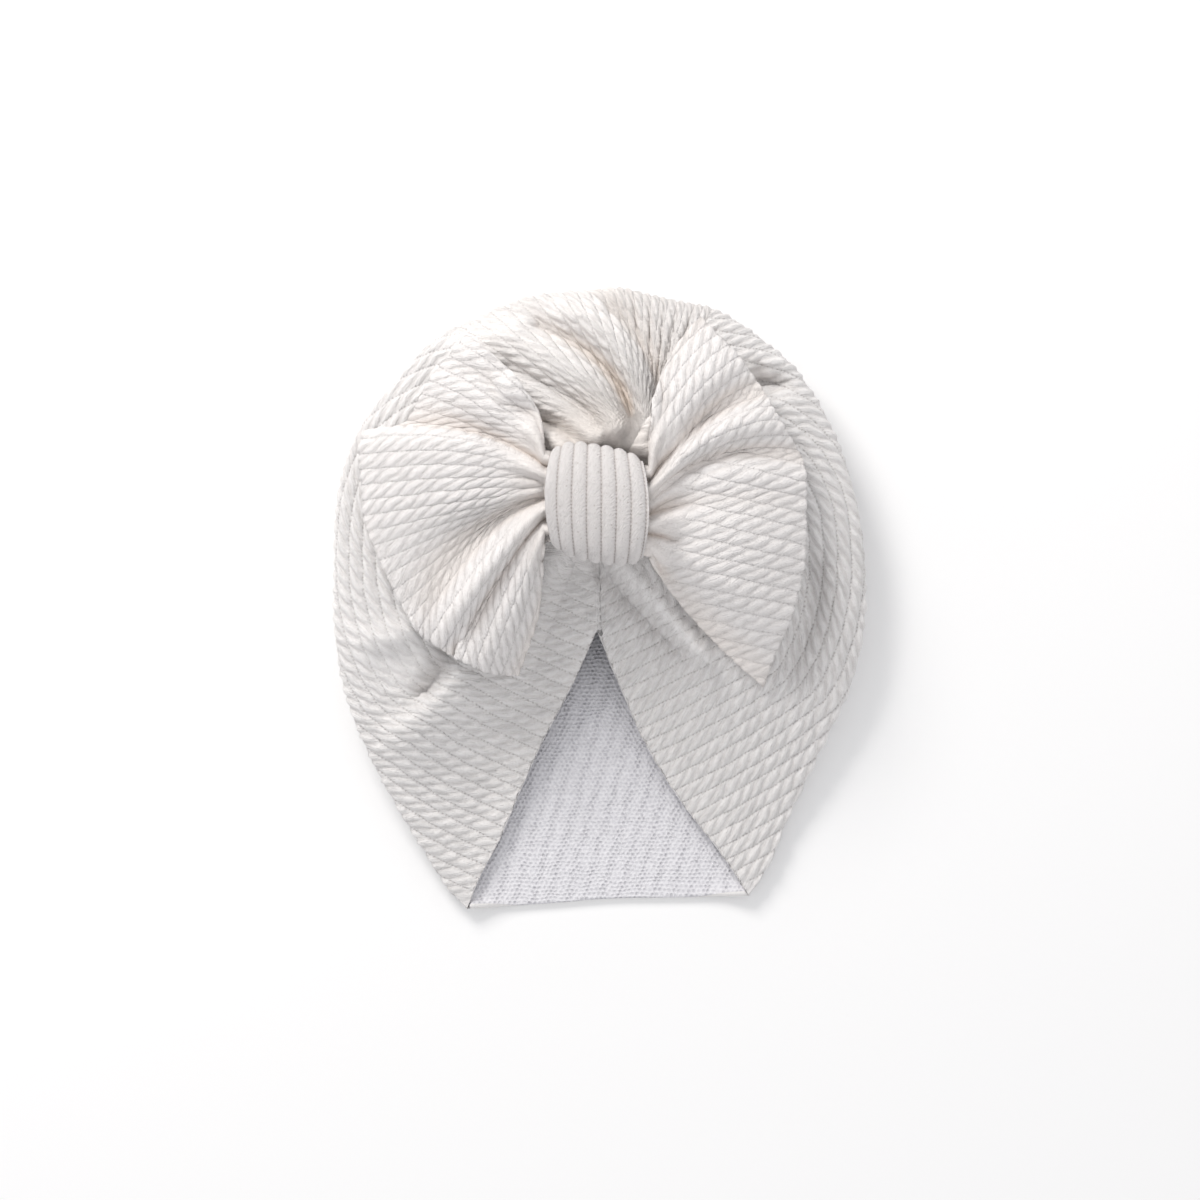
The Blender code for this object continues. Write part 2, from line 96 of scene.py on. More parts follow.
def gridNormals(grid):
    # unit normals of a grid of points, towards the right of a column for one who walks up the rows
    normal = np.cross(np.gradient(grid, axis=0), np.gradient(grid, axis=1))
    length = np.linalg.norm(normal, axis=-1, keepdims=True)
    unit = normal / np.maximum(length, 1e-15)
    for row, near in ((0, 1), (-1, -2)):
        flat = length[:, row, 0] < 1e-12
        if flat.any():
            mean = unit[:, near].mean(axis=0)
            unit[flat, row] = mean / np.linalg.norm(mean)
    return unit


def cornersOf(values):
    # the values at the four corners of each face of a grid
    return np.stack([values[:-1, :-1], values[1:, :-1], values[1:, 1:], values[:-1, 1:]], axis=2)


weldGap = 0.000002


class meshStore:
    # gathers grids of points into one welded mesh; knit is kept at the corners of faces, puff and the amount
    # of painted shade at the points
    def __init__(self):
        self.points, self.puff, self.warm, self.total = [], [], [], 0
        self.faces, self.corners, self.kinds = [], [], []

    def addGrid(self, points, knit, puff, flip=False, kind=0, warm=0.0):
        index = self.total + np.arange(points[..., 0].size).reshape(points.shape[:-1])
        self.total += index.size
        self.points.append(points.reshape(-1, 3))
        for values, layer in ((puff, self.puff), (warm, self.warm)):
            layer.append(np.broadcast_to(values, index.shape).reshape(-1))
        if knit.ndim == 3:
            knit = cornersOf(knit)
        quads, knit = cornersOf(index).reshape(-1, 4), knit.reshape(-1, 4, 3)
        if flip:
            quads, knit = quads[:, ::-1], knit[:, ::-1]
        self.faces += quads.tolist()
        self.corners += list(knit)
        self.kinds += [kind] * len(quads)
        return index

    def zip(self, lineA, lineB, knit, kind=0):
        # a strip of triangles between two lines of points that run the same way
        a, b = np.linspace(0, 1, len(lineA)), np.linspace(0, 1, len(lineB))
        i = j = 0
        while i < len(lineA) - 1 or j < len(lineB) - 1:
            if j == len(lineB) - 1 or (i < len(lineA) - 1 and a[i + 1] <= b[j + 1]):
                self.faces.append([int(lineA[i]), int(lineA[i + 1]), int(lineB[j])])
                i += 1
            else:
                self.faces.append([int(lineA[i]), int(lineB[j + 1]), int(lineB[j])])
                j += 1
            self.corners.append(np.array([knit] * 3))
            self.kinds.append(kind)

    def build(self, name, materials):
        points = np.vstack(self.points)
        keys, first, place = np.unique(np.round(points / weldGap).astype(np.int64), axis=0, return_index=True,
                                       return_inverse=True)
        place = place.reshape(-1)
        faces, corners, kinds = [], [], []
        for face, knit, kind in zip(self.faces, self.corners, self.kinds):
            ids = [place[k] for k in face]
            keep = [k for k in range(len(ids)) if ids[k] != ids[k - 1]]
            if len(keep) > 2 and len(set(ids)) > 2:
                faces.append([int(ids[k]) for k in keep])
                corners.append(knit[keep])
                kinds.append(kind)
        data = bpy.data.meshes.new(name)
        data.from_pydata(points[first].tolist(), [], faces)
        knit = data.attributes.new("knit", "FLOAT_VECTOR", "CORNER")
        knit.data.foreach_set("vector", np.vstack(corners).astype(np.float32).ravel())
        for key, values in (("puff", self.puff), ("warm", self.warm)):
            layer = data.attributes.new(key, "FLOAT", "POINT")
            layer.data.foreach_set("value", np.concatenate(values)[first].astype(np.float32))
        data.polygons.foreach_set("material_index", kinds)
        data.polygons.foreach_set("use_smooth", [True] * len(kinds))
        data.update()
        for material in materials:
            data.materials.append(material)
        item = bpy.data.objects.new(name, data)
        scene.collection.objects.link(item)
        return item


def addWall(item, thickness, offset):
    wall = item.modifiers.new("cloth", "SOLIDIFY")
    wall.thickness = thickness
    wall.offset = offset
    wall.use_even_offset = False


def makePlain(item):
    # turns a piece with modifiers into plain mesh
    graph = bpy.context.evaluated_depsgraph_get()
    data = bpy.data.meshes.new_from_object(item.evaluated_get(graph), preserve_all_data_layers=True,
                                           depsgraph=graph)
    item.modifiers.clear()
    old, item.data = item.data, data
    name = old.name
    bpy.data.meshes.remove(old)
    data.name = name
    return item


# Values that run between nodes, so that a tree's arithmetic is written as a plain sum.

def addNode(tree, kind, inputs={}, **settings):
    # a node with its settings, and with inputs that are values or come from other nodes
    node = tree.nodes.new(kind)
    for name, value in settings.items():
        setattr(node, name, value)
    for name, value in inputs.items():
        source = value.socket if isinstance(value, nodeValue) else value
        if isinstance(source, bpy.types.NodeSocket):
            tree.links.new(source, node.inputs[name])
        else:
            node.inputs[name].default_value = source
    return node


class nodeValue:
    def __init__(self, tree, socket):
        self.tree, self.socket = tree, socket

    def calc(self, kind, *others):
        node = addNode(self.tree, "ShaderNodeMath", dict(enumerate((self, *others))), operation=kind)
        return nodeValue(self.tree, node.outputs[0])

    def __add__(self, other):
        return self.calc("ADD", other)

    def __sub__(self, other):
        return self.calc("SUBTRACT", other)

    def __rsub__(self, other):
        return self.calc("MULTIPLY_ADD", -1.0, other)

    def __mul__(self, other):
        return self.calc("MULTIPLY", other)

    def __truediv__(self, other):
        return self.calc("DIVIDE", other)

    def __pow__(self, other):
        return self.calc("POWER", other)


def splitVector(tree, socket):
    return [nodeValue(tree, part) for part in addNode(tree, "ShaderNodeSeparateXYZ", {0: socket}).outputs]


def noise(tree, place, scale, detail, rough=0.5):
    inputs = {"Vector": place, "Scale": scale, "Detail": detail, "Roughness": rough}
    node = addNode(tree, "ShaderNodeTexNoise", inputs)
    return nodeValue(tree, node.outputs[0])


def bell(squares):
    # 1 where a sum of squares is zero, falling off round it
    return (squares * -1.0).calc("EXPONENT")


# The knit: cords with slanting lozenges, the same on the crown and the bow. One pattern drives both the
# raised shape, in geometry nodes, and the finer shade of it in the materials.

knitSizes = {
    "pitch": 0.0051,          # width of a cord
    "step": 0.0056,           # length of a lozenge along its cord
    "wander": 0.0012,         # how far cords stray sideways
    "slip": 0.0045,           # how far lozenges stray along their cord
    "waves": 140.0,           # how often they stray, in a metre
    "slant": 35.0,            # degrees from the cord to the line between two lozenges
    "stagger": 0.37,          # how far lozenges are moved on from one cord to the next
    "cordHeight": 0.00022,
    "lozengeHeight": 0.00088,
    "pinhole": 0.00140,       # spacing of the small holes between cords
}


def unevenness(tree, place, shift):
    # slow noise about zero
    move = addNode(tree, "ShaderNodeVectorMath", {0: place, 1: (shift, shift, 0.0)})
    return noise(tree, move.outputs[0], knitSizes["waves"], 1.0) - 0.5


def knitPattern(tree, knit, place, pitch, step, lean, cordPower, lozengePower, stray=1.0):
    # cord is 1 along the middle of a cord and 0 in the groove; lozenge is 1 in its middle and 0 at its ends
    along, across, offset = splitVector(tree, knit)
    fan = offset.calc("GREATER_THAN", -0.5)
    across = unevenness(tree, place, 0.0) * (knitSizes["wander"] * stray) + across
    slip = unevenness(tree, place, 0.7) * (knitSizes["slip"] * stray)
    turns = across / pitch
    cell = turns.calc("FLOOR")
    middle = (cell + 0.5) * pitch
    edge = turns.calc("ROUND") * pitch
    runs = [along * ((centre - offset - 1.0) * fan + 1.0) + slip for centre in (middle, edge)]
    cord = 1.0 - ((turns - cell - 0.5).calc("ABSOLUTE") * 2.0) ** cordPower
    phase = (runs[0] + (across - middle) / lean) / step
    part = (phase + cell * knitSizes["stagger"]).calc("FRACT")
    ends = ((part * 2.0 - 1.0).calc("ABSOLUTE") * (math.pi / 2)).calc("SINE")
    return cord, 1.0 - ends ** lozengePower, runs[1], across - edge, phase


def reliefTree():
    # raises cords and lozenges along the normals of a piece that carries the knit and puff attributes
    tree = bpy.data.node_groups.new("knit relief", "GeometryNodeTree")
    face = tree.interface
    face.new_socket("Geometry", in_out="OUTPUT", socket_type="NodeSocketGeometry")
    face.new_socket("Geometry", in_out="INPUT", socket_type="NodeSocketGeometry")
    sockets = {}
    for name in ("pitch", "step", "slant", "cordHeight", "lozengeHeight"):
        socket = face.new_socket(name, in_out="INPUT", socket_type="NodeSocketFloat")
        socket.default_value = knitSizes[name]
        sockets[name] = socket.identifier
    for name in ("material", "reverse"):
        sockets[name] = face.new_socket(name, in_out="INPUT", socket_type="NodeSocketMaterial").identifier
    start, end = addNode(tree, "NodeGroupInput"), addNode(tree, "NodeGroupOutput")
    inputs = {name: nodeValue(tree, start.outputs[name]) for name in sockets}
    knit, puff = (addNode(tree, "GeometryNodeInputNamedAttribute", {"Name": name}, data_type=kind).outputs[0]
                  for name, kind in (("knit", "FLOAT_VECTOR"), ("puff", "FLOAT")))
    place = addNode(tree, "GeometryNodeInputPosition").outputs[0]
    lean = inputs["slant"].calc("RADIANS").calc("TANGENT")
    cord, lozenge = knitPattern(tree, knit, place, inputs["pitch"], inputs["step"], lean, 2.3, 2.6)[:2]
    height = cord * (lozenge * inputs["lozengeHeight"] + inputs["cordHeight"]) * nodeValue(tree, puff)
    normal = addNode(tree, "GeometryNodeInputNormal").outputs[0]
    lift = addNode(tree, "ShaderNodeVectorMath", {0: normal, "Scale": height}, operation="SCALE").outputs[0]
    move = addNode(tree, "GeometryNodeSetPosition", {"Geometry": start.outputs["Geometry"], "Offset": lift})
    last = addNode(tree, "GeometryNodeRealizeInstances", {0: move.outputs[0]}).outputs[0]
    index = nodeValue(tree, addNode(tree, "GeometryNodeInputMaterialIndex").outputs[0])
    for name, side in (("material", "LESS_THAN"), ("reverse", "GREATER_THAN")):
        setter = {"Geometry": last, "Selection": index.calc(side, 0.5), "Material": inputs[name]}
        last = addNode(tree, "GeometryNodeSetMaterial", setter).outputs[0]
    tree.links.new(last, end.inputs[0])
    return tree, sockets


knitRelief, reliefSockets = reliefTree()


def addRelief(item, **values):
    lift = item.modifiers.new("knit relief", "NODES")
    lift.node_group = knitRelief
    for name, value in {**knitSizes, **values}.items():
        if name in reliefSockets:
            lift[reliefSockets[name]] = value
    return lift


print("knit pattern ready")


# Materials: cream knit with painted shade in its folds and grooves, its cooler reverse, and the plain rib of
# the band in a cream darkened as painted shade.

clothLook = {
    "cream": (0.880, 0.860, 0.850),
    "bowCream": (0.876, 0.848, 0.836),
    # the band's cream is the same cream darkened, as painted shade on the band
    "bandShadedCream": (0.750, 0.721, 0.709),
    "warm": (0.900, 0.775, 0.670),         # painted shade, warmer than the cream, in deep folds, round the knot and in the bow's hollows
    "groove": (0.480, 0.430, 0.400),       # the dark of the holes, and painted shade between lozenges and along the grooves between cords
    "reverse": (0.930, 0.921, 0.945),
    "reverseDark": (0.560, 0.550, 0.590),
    "roughness": 0.95,
    "shine": 0.12,
    "sheen": 0.15,
    "lozengeShade": 0.20,
    "fuzzShade": 0.40,
    "threadShade": 0.56,
    "fuzzScale": 1500.0,                   # noise of the fibres
    "softScale": 260.0,                    # slower noise under it
    "threadScale": (11.0, 520.0),          # threads in a lozenge, and in a metre across a cord
    "holeShare": 4.6,                      # a larger value makes the holes of a dotted line shorter
    "lineScale": 3000.0,                   # a larger value makes the dotted line finer
    "speckle": 0.0022,                     # spacing of the scattered holes
    "flatSeen": 0.15,                      # how much of the holes is left where the knit is flat
    "warmFade": 3.0,                       # how fast the holes fade under the painted shade of folds, and how far
    "mostFade": 0.75,
    "bump": 0.00060,                       # depth of the fine relief, and its shares
    "lozengeBump": 0.70,
    "cordBump": 0.22,
    "holeBump": -0.35,
    "fuzzBump": 0.60,
    "threadBump": 0.95,
    "softBump": 0.35,
}
reverseSizes = {
    "row": 0.00135,           # pitch of the stitches
    "column": 0.00165,
    "stitch": 2.6,            # a larger value makes each stitch smaller
    "jitter": 0.0022,         # how far stitches stray
    "bandPitch": 0.0058,      # spacing of the darker rows
    "bandShare": 4.4,         # a larger value makes them narrower
    "bandLean": 0.27,
    "plain": 0.56,            # darkness of a stitch, and how much the darker rows add
    "band": 0.42,
    "fuzzScale": 1300.0,
    "patchScale": 520.0,
}


def attribute(tree, name, output="Fac"):
    node = addNode(tree, "ShaderNodeAttribute", attribute_type="GEOMETRY", attribute_name=name)
    return nodeValue(tree, node.outputs[output])


def objectPlace(tree):
    return addNode(tree, "ShaderNodeTexCoord").outputs["Object"]


def mixColour(tree, factor, first, second):
    first, second = ((*value, 1.0) if isinstance(value, tuple) else value for value in (first, second))
    return addNode(tree, "ShaderNodeMix", {0: factor, 6: first, 7: second}, data_type="RGBA").outputs[2]


def clothBase(name, colour):
    material = bpy.data.materials.new(name)
    material.use_nodes = True
    tree = material.node_tree
    shader = tree.nodes["Principled BSDF"]
    shader.inputs["Base Color"].default_value = (*colour, 1.0)
    shader.inputs["Roughness"].default_value = clothLook["roughness"]
    shader.inputs["Specular IOR Level"].default_value = clothLook["shine"]
    shader.inputs["Sheen Weight"].default_value = clothLook["sheen"]
    shader.inputs["Sheen Roughness"].default_value = 0.6
    return material, tree, shader


def finishCloth(tree, shader, colour, height, distance):
    bump = addNode(tree, "ShaderNodeBump", {"Strength": 1.0, "Distance": distance, "Height": height})
    tree.links.new(colour, shader.inputs["Base Color"])
    tree.links.new(bump.outputs[0], shader.inputs["Normal"])


def speckles(tree, size):
    # tiny holes scattered over a piece
    node = addNode(tree, "ShaderNodeTexVoronoi", {"Scale": 1 / size, "Vector": objectPlace(tree)})
    return bell((nodeValue(tree, node.outputs["Distance"]) * 9.0) ** 2.0)


def knitMaterial(name, lozenges, cream, holes, lines, depth=1.0, fine=1.0, speckle=0.0):
    # lozenges says how strongly they show (0 to 1), and how much painted shade lies between them; holes and
    # speckle how dark the rows of holes and the scattered ones are; lines how dark the line along each groove
    # between cords is, partly the row of holes and partly painted shade; depth scales the fine relief, fine
    # makes the rows of holes finer
    material, tree, shader = clothBase(name, cream)
    puff, warm = attribute(tree, "puff"), attribute(tree, "warm")
    knit, place = attribute(tree, "knit", "Vector").socket, objectPlace(tree)
    lean = math.tan(math.radians(knitSizes["slant"]))
    cord, lozenge, run, gap, phase = knitPattern(tree, knit, place, knitSizes["pitch"], knitSizes["step"],
                                                 lean, 4.5, 3.2, 1.0 if lozenges else 0.2)
    fuzz = noise(tree, place, clothLook["fuzzScale"], 2.0, 0.6)
    soft = noise(tree, place, clothLook["softScale"], 3.0, 0.6)
    # fine threads lie across a cord, beside the lines between its lozenges
    threadAlong, threadAcross = clothLook["threadScale"]
    lie = addNode(tree, "ShaderNodeCombineXYZ", {0: phase * threadAlong, 1: gap * threadAcross})
    thread = noise(tree, lie.outputs[0], 1.0, 2.0)
    # small holes stand in a dotted line between cords, and fade in flat places and under the painted shade of
    # deep folds
    dot = (run / (knitSizes["pinhole"] / fine ** 0.5)).calc("FRACT") - 0.5
    away = (gap * (clothLook["lineScale"] * fine)) ** 2.0
    unseen = (1.0 - clothLook["flatSeen"]) * lozenges
    seen = puff * unseen + (1.0 - unseen)
    faded = 1.0 - (warm * clothLook["warmFade"]).calc("MINIMUM", clothLook["mostFade"])
    hole = bell((dot * clothLook["holeShare"]) ** 2.0 + away) * seen * faded
    line = bell(away * 0.4) * faded
    # painted shade: darker between lozenges where the knit stands out, and along the groove between cords,
    # which is partly the row of holes; the holes are the knit's own, and fuzz and threads add uneven tone
    shade = (1.0 - lozenge) * (clothLook["lozengeShade"] * lozenges) * cord * puff
    shade = shade.calc("MAXIMUM", line * lines).calc("MAXIMUM", hole * holes)
    shade = shade + (fuzz - 0.5) * clothLook["fuzzShade"] + (thread - 0.5) * clothLook["threadShade"]
    if speckle:
        shade = shade.calc("MAXIMUM", speckles(tree, clothLook["speckle"]) * speckle)
    # the cream is first tinted warmer where painted shade lies in folds and round the knot, then darkened
    # towards the groove colour by the painted shade of grooves and by the holes
    colour = mixColour(tree, shade, mixColour(tree, warm, cream, clothLook["warm"]), clothLook["groove"])
    raised = lozenge * (clothLook["lozengeBump"] * lozenges * depth) + clothLook["cordBump"] * depth
    height = raised * cord * (puff * 0.8 + 0.2)
    for value, share in ((hole, "holeBump"), (fuzz, "fuzzBump"), (thread, "threadBump"), (soft, "softBump")):
        height = height + value * clothLook[share]
    finishCloth(tree, shader, colour, height, clothLook["bump"])
    return material


def reverseMaterial():
    # the reverse of the knit, seen inside: staggered small stitches and leaning rows of darker dashes
    material, tree, shader = clothBase("reverse", clothLook["reverse"])
    place = objectPlace(tree)
    along, across = splitVector(tree, attribute(tree, "knit", "Vector").socket)[:2]
    along = unevenness(tree, place, 0.3) * reverseSizes["jitter"] + along
    across = unevenness(tree, place, 0.9) * reverseSizes["jitter"] + across
    row = along / reverseSizes["row"]
    column = across / reverseSizes["column"] + row.calc("FLOOR") * 0.5
    fx, fy = ((value.calc("FRACT") - 0.5) * reverseSizes["stitch"] for value in (column, row))
    lean = along * -reverseSizes["bandLean"] + across
    band = ((lean / reverseSizes["bandPitch"]).calc("FRACT") - 0.5) * reverseSizes["bandShare"]
    fuzz = noise(tree, place, reverseSizes["fuzzScale"], 2.0, 0.6)
    patch = noise(tree, place, reverseSizes["patchScale"], 2.0, 0.6)
    strength = (bell(band ** 2.0) * reverseSizes["band"] + reverseSizes["plain"]) * (patch * 2.0)
    dark = bell(fx ** 2.0 + fy ** 2.0) * strength
    shade = dark * 0.70 + 0.22 + (fuzz - 0.5) * 0.70
    colour = mixColour(tree, shade, clothLook["reverse"], clothLook["reverseDark"])
    finishCloth(tree, shader, colour, patch * 1.6 - dark * 1.2 + fuzz * 0.9, clothLook["bump"] * 0.6)
    return material


creamKnit = knitMaterial("creamKnit", 1.0, clothLook["cream"], 0.48, 0.05)
bowKnit = knitMaterial("bowKnit", 0.9, clothLook["bowCream"], 0.28, 0.05, depth=0.80)
bandKnit = knitMaterial("bandKnit", 0.0, clothLook["bandShadedCream"], 1.10, 0.28, fine=1.2, speckle=0.85)
reverseKnit = reverseMaterial()
print("materials ready")


# The crown: the cap itself, lying on its back.

crownSizes = {
    "width": 0.1767,
    "length": 0.2080,
    "height": 0.0390,
    "cloth": 0.0018,
    "foldRadius": 0.0100,
    "knotX": -0.0010,
    "knotY": 0.0317,
    "seatRadius": 0.0120,
    "edgeDrop": 0.22,         # how far the edges of the V sag, a share of the height
    "edgeReach": 0.0150,
    "columns": 541,
    "rows": 116,
    "innerRows": 44,
    "hemColumns": 90,
    "hemCurl": 0.10,          # how far from the V's corners the hem curls up, a share of its length
}
half = np.array([crownSizes["width"] / 2, crownSizes["length"] / 2])
knotX, knotY = crownSizes["knotX"], crownSizes["knotY"]
knot = np.array([knotX, knotY])
crownHeight = crownSizes["height"]

# outline from the right corner of the V anticlockwise to the left one, in shares of half the width and half
# the length
outlineRows = [
    {"x": 0.566, "y": -0.955}, {"x": 0.640, "y": -0.852}, {"x": 0.694, "y": -0.734},
    {"x": 0.788, "y": -0.564}, {"x": 0.867, "y": -0.416}, {"x": 0.943, "y": -0.284},
    {"x": 0.983, "y": -0.145}, {"x": 0.999, "y": -0.008}, {"x": 0.998, "y": 0.122},
    {"x": 0.984, "y": 0.245}, {"x": 0.954, "y": 0.362}, {"x": 0.911, "y": 0.471}, {"x": 0.859, "y": 0.574},
    {"x": 0.795, "y": 0.669}, {"x": 0.720, "y": 0.756}, {"x": 0.623, "y": 0.824}, {"x": 0.524, "y": 0.887},
    {"x": 0.417, "y": 0.935}, {"x": 0.298, "y": 0.956}, {"x": 0.186, "y": 0.978}, {"x": 0.075, "y": 0.999},
    {"x": -0.040, "y": 0.993}, {"x": -0.153, "y": 0.986}, {"x": -0.267, "y": 0.974},
    {"x": -0.377, "y": 0.941}, {"x": -0.482, "y": 0.897}, {"x": -0.592, "y": 0.852},
    {"x": -0.686, "y": 0.786}, {"x": -0.765, "y": 0.704}, {"x": -0.849, "y": 0.621},
    {"x": -0.920, "y": 0.526}, {"x": -0.964, "y": 0.418}, {"x": -0.990, "y": 0.304},
    {"x": -0.999, "y": 0.187}, {"x": -1.000, "y": 0.064}, {"x": -1.000, "y": -0.070},
    {"x": -0.983, "y": -0.211}, {"x": -0.939, "y": -0.357}, {"x": -0.867, "y": -0.503},
    {"x": -0.773, "y": -0.655}, {"x": -0.660, "y": -0.816}, {"x": -0.575, "y": -0.930},
    {"x": -0.506, "y": -0.997},
]

# lower edge of the back panel
hemRows = [
    {"x": -0.506, "y": -0.997}, {"x": -0.423, "y": -0.994}, {"x": -0.196, "y": -0.981},
    {"x": 0.049, "y": -0.965}, {"x": 0.294, "y": -0.962}, {"x": 0.483, "y": -0.958},
    {"x": 0.566, "y": -0.955},
]

# edges of the V, from the apex down
leftEdgeRows = [
    {"x": -0.008, "y": -0.096}, {"x": -0.060, "y": -0.196}, {"x": -0.130, "y": -0.320},
    {"x": -0.211, "y": -0.449}, {"x": -0.294, "y": -0.603}, {"x": -0.377, "y": -0.769},
    {"x": -0.450, "y": -0.885}, {"x": -0.506, "y": -0.997},
]
rightEdgeRows = [
    {"x": -0.008, "y": -0.096}, {"x": 0.030, "y": -0.190}, {"x": 0.090, "y": -0.310},
    {"x": 0.150, "y": -0.430}, {"x": 0.235, "y": -0.560}, {"x": 0.330, "y": -0.680},
    {"x": 0.440, "y": -0.800}, {"x": 0.566, "y": -0.955},
]

# by direction from the knot: height of the side fold and of the shoulder inside it, how early height is lost
sideRows = [
    {"angle": -111.0, "fold": 0.12, "shoulder": 0.16, "fall": 0.46},
    {"angle": -67.0, "fold": 0.12, "shoulder": 0.16, "fall": 0.46},
    {"angle": -45.0, "fold": 0.27, "shoulder": 0.42, "fall": 1.10},
    {"angle": -15.0, "fold": 0.38, "shoulder": 0.60, "fall": 1.35},
    {"angle": 30.0, "fold": 0.40, "shoulder": 0.64, "fall": 1.45},
    {"angle": 90.0, "fold": 0.36, "shoulder": 0.62, "fall": 1.45},
    {"angle": 150.0, "fold": 0.40, "shoulder": 0.64, "fall": 1.45},
    {"angle": 195.0, "fold": 0.38, "shoulder": 0.60, "fall": 1.35},
    {"angle": 225.0, "fold": 0.27, "shoulder": 0.42, "fall": 1.10},
]

# pleats and dents: path (shares of half the width and length), lift (share of the height), half widths near
# and far (shares of half the width), width of the left and right flank, how flat the crest is (2 is round)
creaseRows = [
    {"name": "pleat A", "path": ((0.185, 0.560), (0.110, 0.765), (-0.130, 0.955)), "lift": 0.18,
     "near": 0.044, "far": 0.080, "left": 0.9, "right": 0.8, "power": 2.8},
    {"name": "valley AB", "path": ((0.112, 0.585), (0.010, 0.755), (-0.230, 0.870)), "lift": -0.14,
     "near": 0.044, "far": 0.046, "left": 1.0, "right": 0.9, "power": 1.5},
    {"name": "pleat B", "path": ((0.050, 0.560), (-0.130, 0.725), (-0.480, 0.860)), "lift": 0.20,
     "near": 0.055, "far": 0.125, "left": 1.0, "right": 0.95, "power": 3.4},
    {"name": "valley BC", "path": ((-0.012, 0.555), (-0.105, 0.640), (-0.345, 0.735)), "lift": -0.10,
     "near": 0.034, "far": 0.040, "left": 1.0, "right": 1.0, "power": 1.5},
    {"name": "pleat C", "path": ((-0.025, 0.520), (-0.135, 0.600), (-0.330, 0.680)), "lift": 0.17,
     "near": 0.040, "far": 0.050, "left": 1.0, "right": 1.0, "power": 3.0},
    {"name": "pit CD", "path": ((-0.105, 0.512), (-0.155, 0.540), (-0.245, 0.580)), "lift": -0.07,
     "near": 0.024, "far": 0.022, "left": 1.0, "right": 1.0, "power": 1.3},
    {"name": "pleat D", "path": ((-0.120, 0.475), (-0.180, 0.512), (-0.250, 0.545)), "lift": 0.13,
     "near": 0.028, "far": 0.028, "left": 1.0, "right": 1.0, "power": 2.4},
    {"name": "valley E", "path": ((0.218, 0.640), (0.155, 0.800), (0.035, 0.930)), "lift": -0.11,
     "near": 0.030, "far": 0.040, "left": 0.8, "right": 1.8, "power": 1.4},
    {"name": "knot collar", "path": ((-0.150, 0.480), (0.040, 0.505), (0.215, 0.480)), "lift": 0.26,
     "near": 0.050, "far": 0.070, "left": 1.4, "right": 1.0, "power": 2.2},
    {"name": "lower roll", "path": ((0.068, 0.115), (0.189, 0.000), (0.372, -0.172)), "lift": 0.25,
     "near": 0.040, "far": 0.026, "left": 1.5, "right": 1.0, "power": 2.2},
    {"name": "roll shade", "path": ((0.020, 0.100), (0.130, -0.018), (0.310, -0.160)), "lift": -0.12,
     "near": 0.022, "far": 0.018, "left": 1.0, "right": 2.0, "power": 1.4},
    {"name": "under roll", "path": ((0.155, 0.095), (0.255, -0.005), (0.385, -0.115)), "lift": -0.02,
     "near": 0.022, "far": 0.020, "left": 1.0, "right": 1.0, "power": 1.6},
    {"name": "seam lap", "path": ((-0.012, 0.150), (-0.010, 0.030), (-0.008, -0.096)), "lift": 0.030,
     "near": 0.040, "far": 0.040, "left": 0.12, "right": 1.6, "power": 1.4},
    {"name": "tuck", "path": ((-0.012, 0.150), (-0.012, 0.110), (-0.012, 0.070)), "lift": -0.060,
     "near": 0.014, "far": 0.010, "left": 1.0, "right": 1.0, "power": 1.6},
    {"name": "left dent", "path": ((-0.560, -0.165), (-0.600, -0.235), (-0.660, -0.295)), "lift": -0.17,
     "near": 0.055, "far": 0.035, "left": 0.5, "right": 1.1, "power": 1.6},
    {"name": "left fold", "path": ((-0.545, -0.215), (-0.612, -0.325), (-0.780, -0.430)), "lift": 0.14,
     "near": 0.060, "far": 0.080, "left": 1.9, "right": 0.6, "power": 1.9},
    {"name": "left ridge", "path": ((-0.960, -0.110), (-0.860, -0.130), (-0.720, -0.100)), "lift": 0.10,
     "near": 0.060, "far": 0.055, "left": 1.0, "right": 1.0, "power": 2.0},
    {"name": "right dent", "path": ((0.610, 0.700), (0.680, 0.700), (0.760, 0.720)), "lift": -0.26,
     "near": 0.050, "far": 0.035, "left": 1.0, "right": 1.0, "power": 1.8},
    {"name": "right bump", "path": ((0.640, 0.790), (0.700, 0.770), (0.760, 0.735)), "lift": 0.07,
     "near": 0.040, "far": 0.040, "left": 1.0, "right": 1.0, "power": 2.0},
    {"name": "right hollow", "path": ((0.790, 0.090), (0.800, -0.030), (0.740, -0.180)), "lift": -0.14,
     "near": 0.085, "far": 0.105, "left": 1.0, "right": 0.8, "power": 1.8},
    {"name": "right fold", "path": ((0.900, 0.080), (0.890, -0.060), (0.840, -0.170)), "lift": 0.06,
     "near": 0.045, "far": 0.050, "left": 1.0, "right": 1.0, "power": 2.0},
]

# fine gathers that fan out to the right of pleat A
fanSizes = {"x": 0.0180, "y": 0.0600, "low": 48.0, "high": 108.0, "gathers": 8, "lift": 0.050, "start": 0.022}


def plan(row):
    return (row["x"] * half[0], row["y"] * half[1])


def knotTurn(x, y):
    return np.arctan2(y - knotY, x - knotX)


def knotGap(x, y):
    return np.hypot(x - knotX, y - knotY)


def polarLine(rows):
    points = catmull([plan(row) for row in rows], 12)
    return np.unwrap(knotTurn(*points.T)), knotGap(*points.T)


def creasePath(row):
    points = (np.array(point) * half for point in row["path"])
    return bendThrough(*points, np.linspace(0, 1, 17)[:, None])


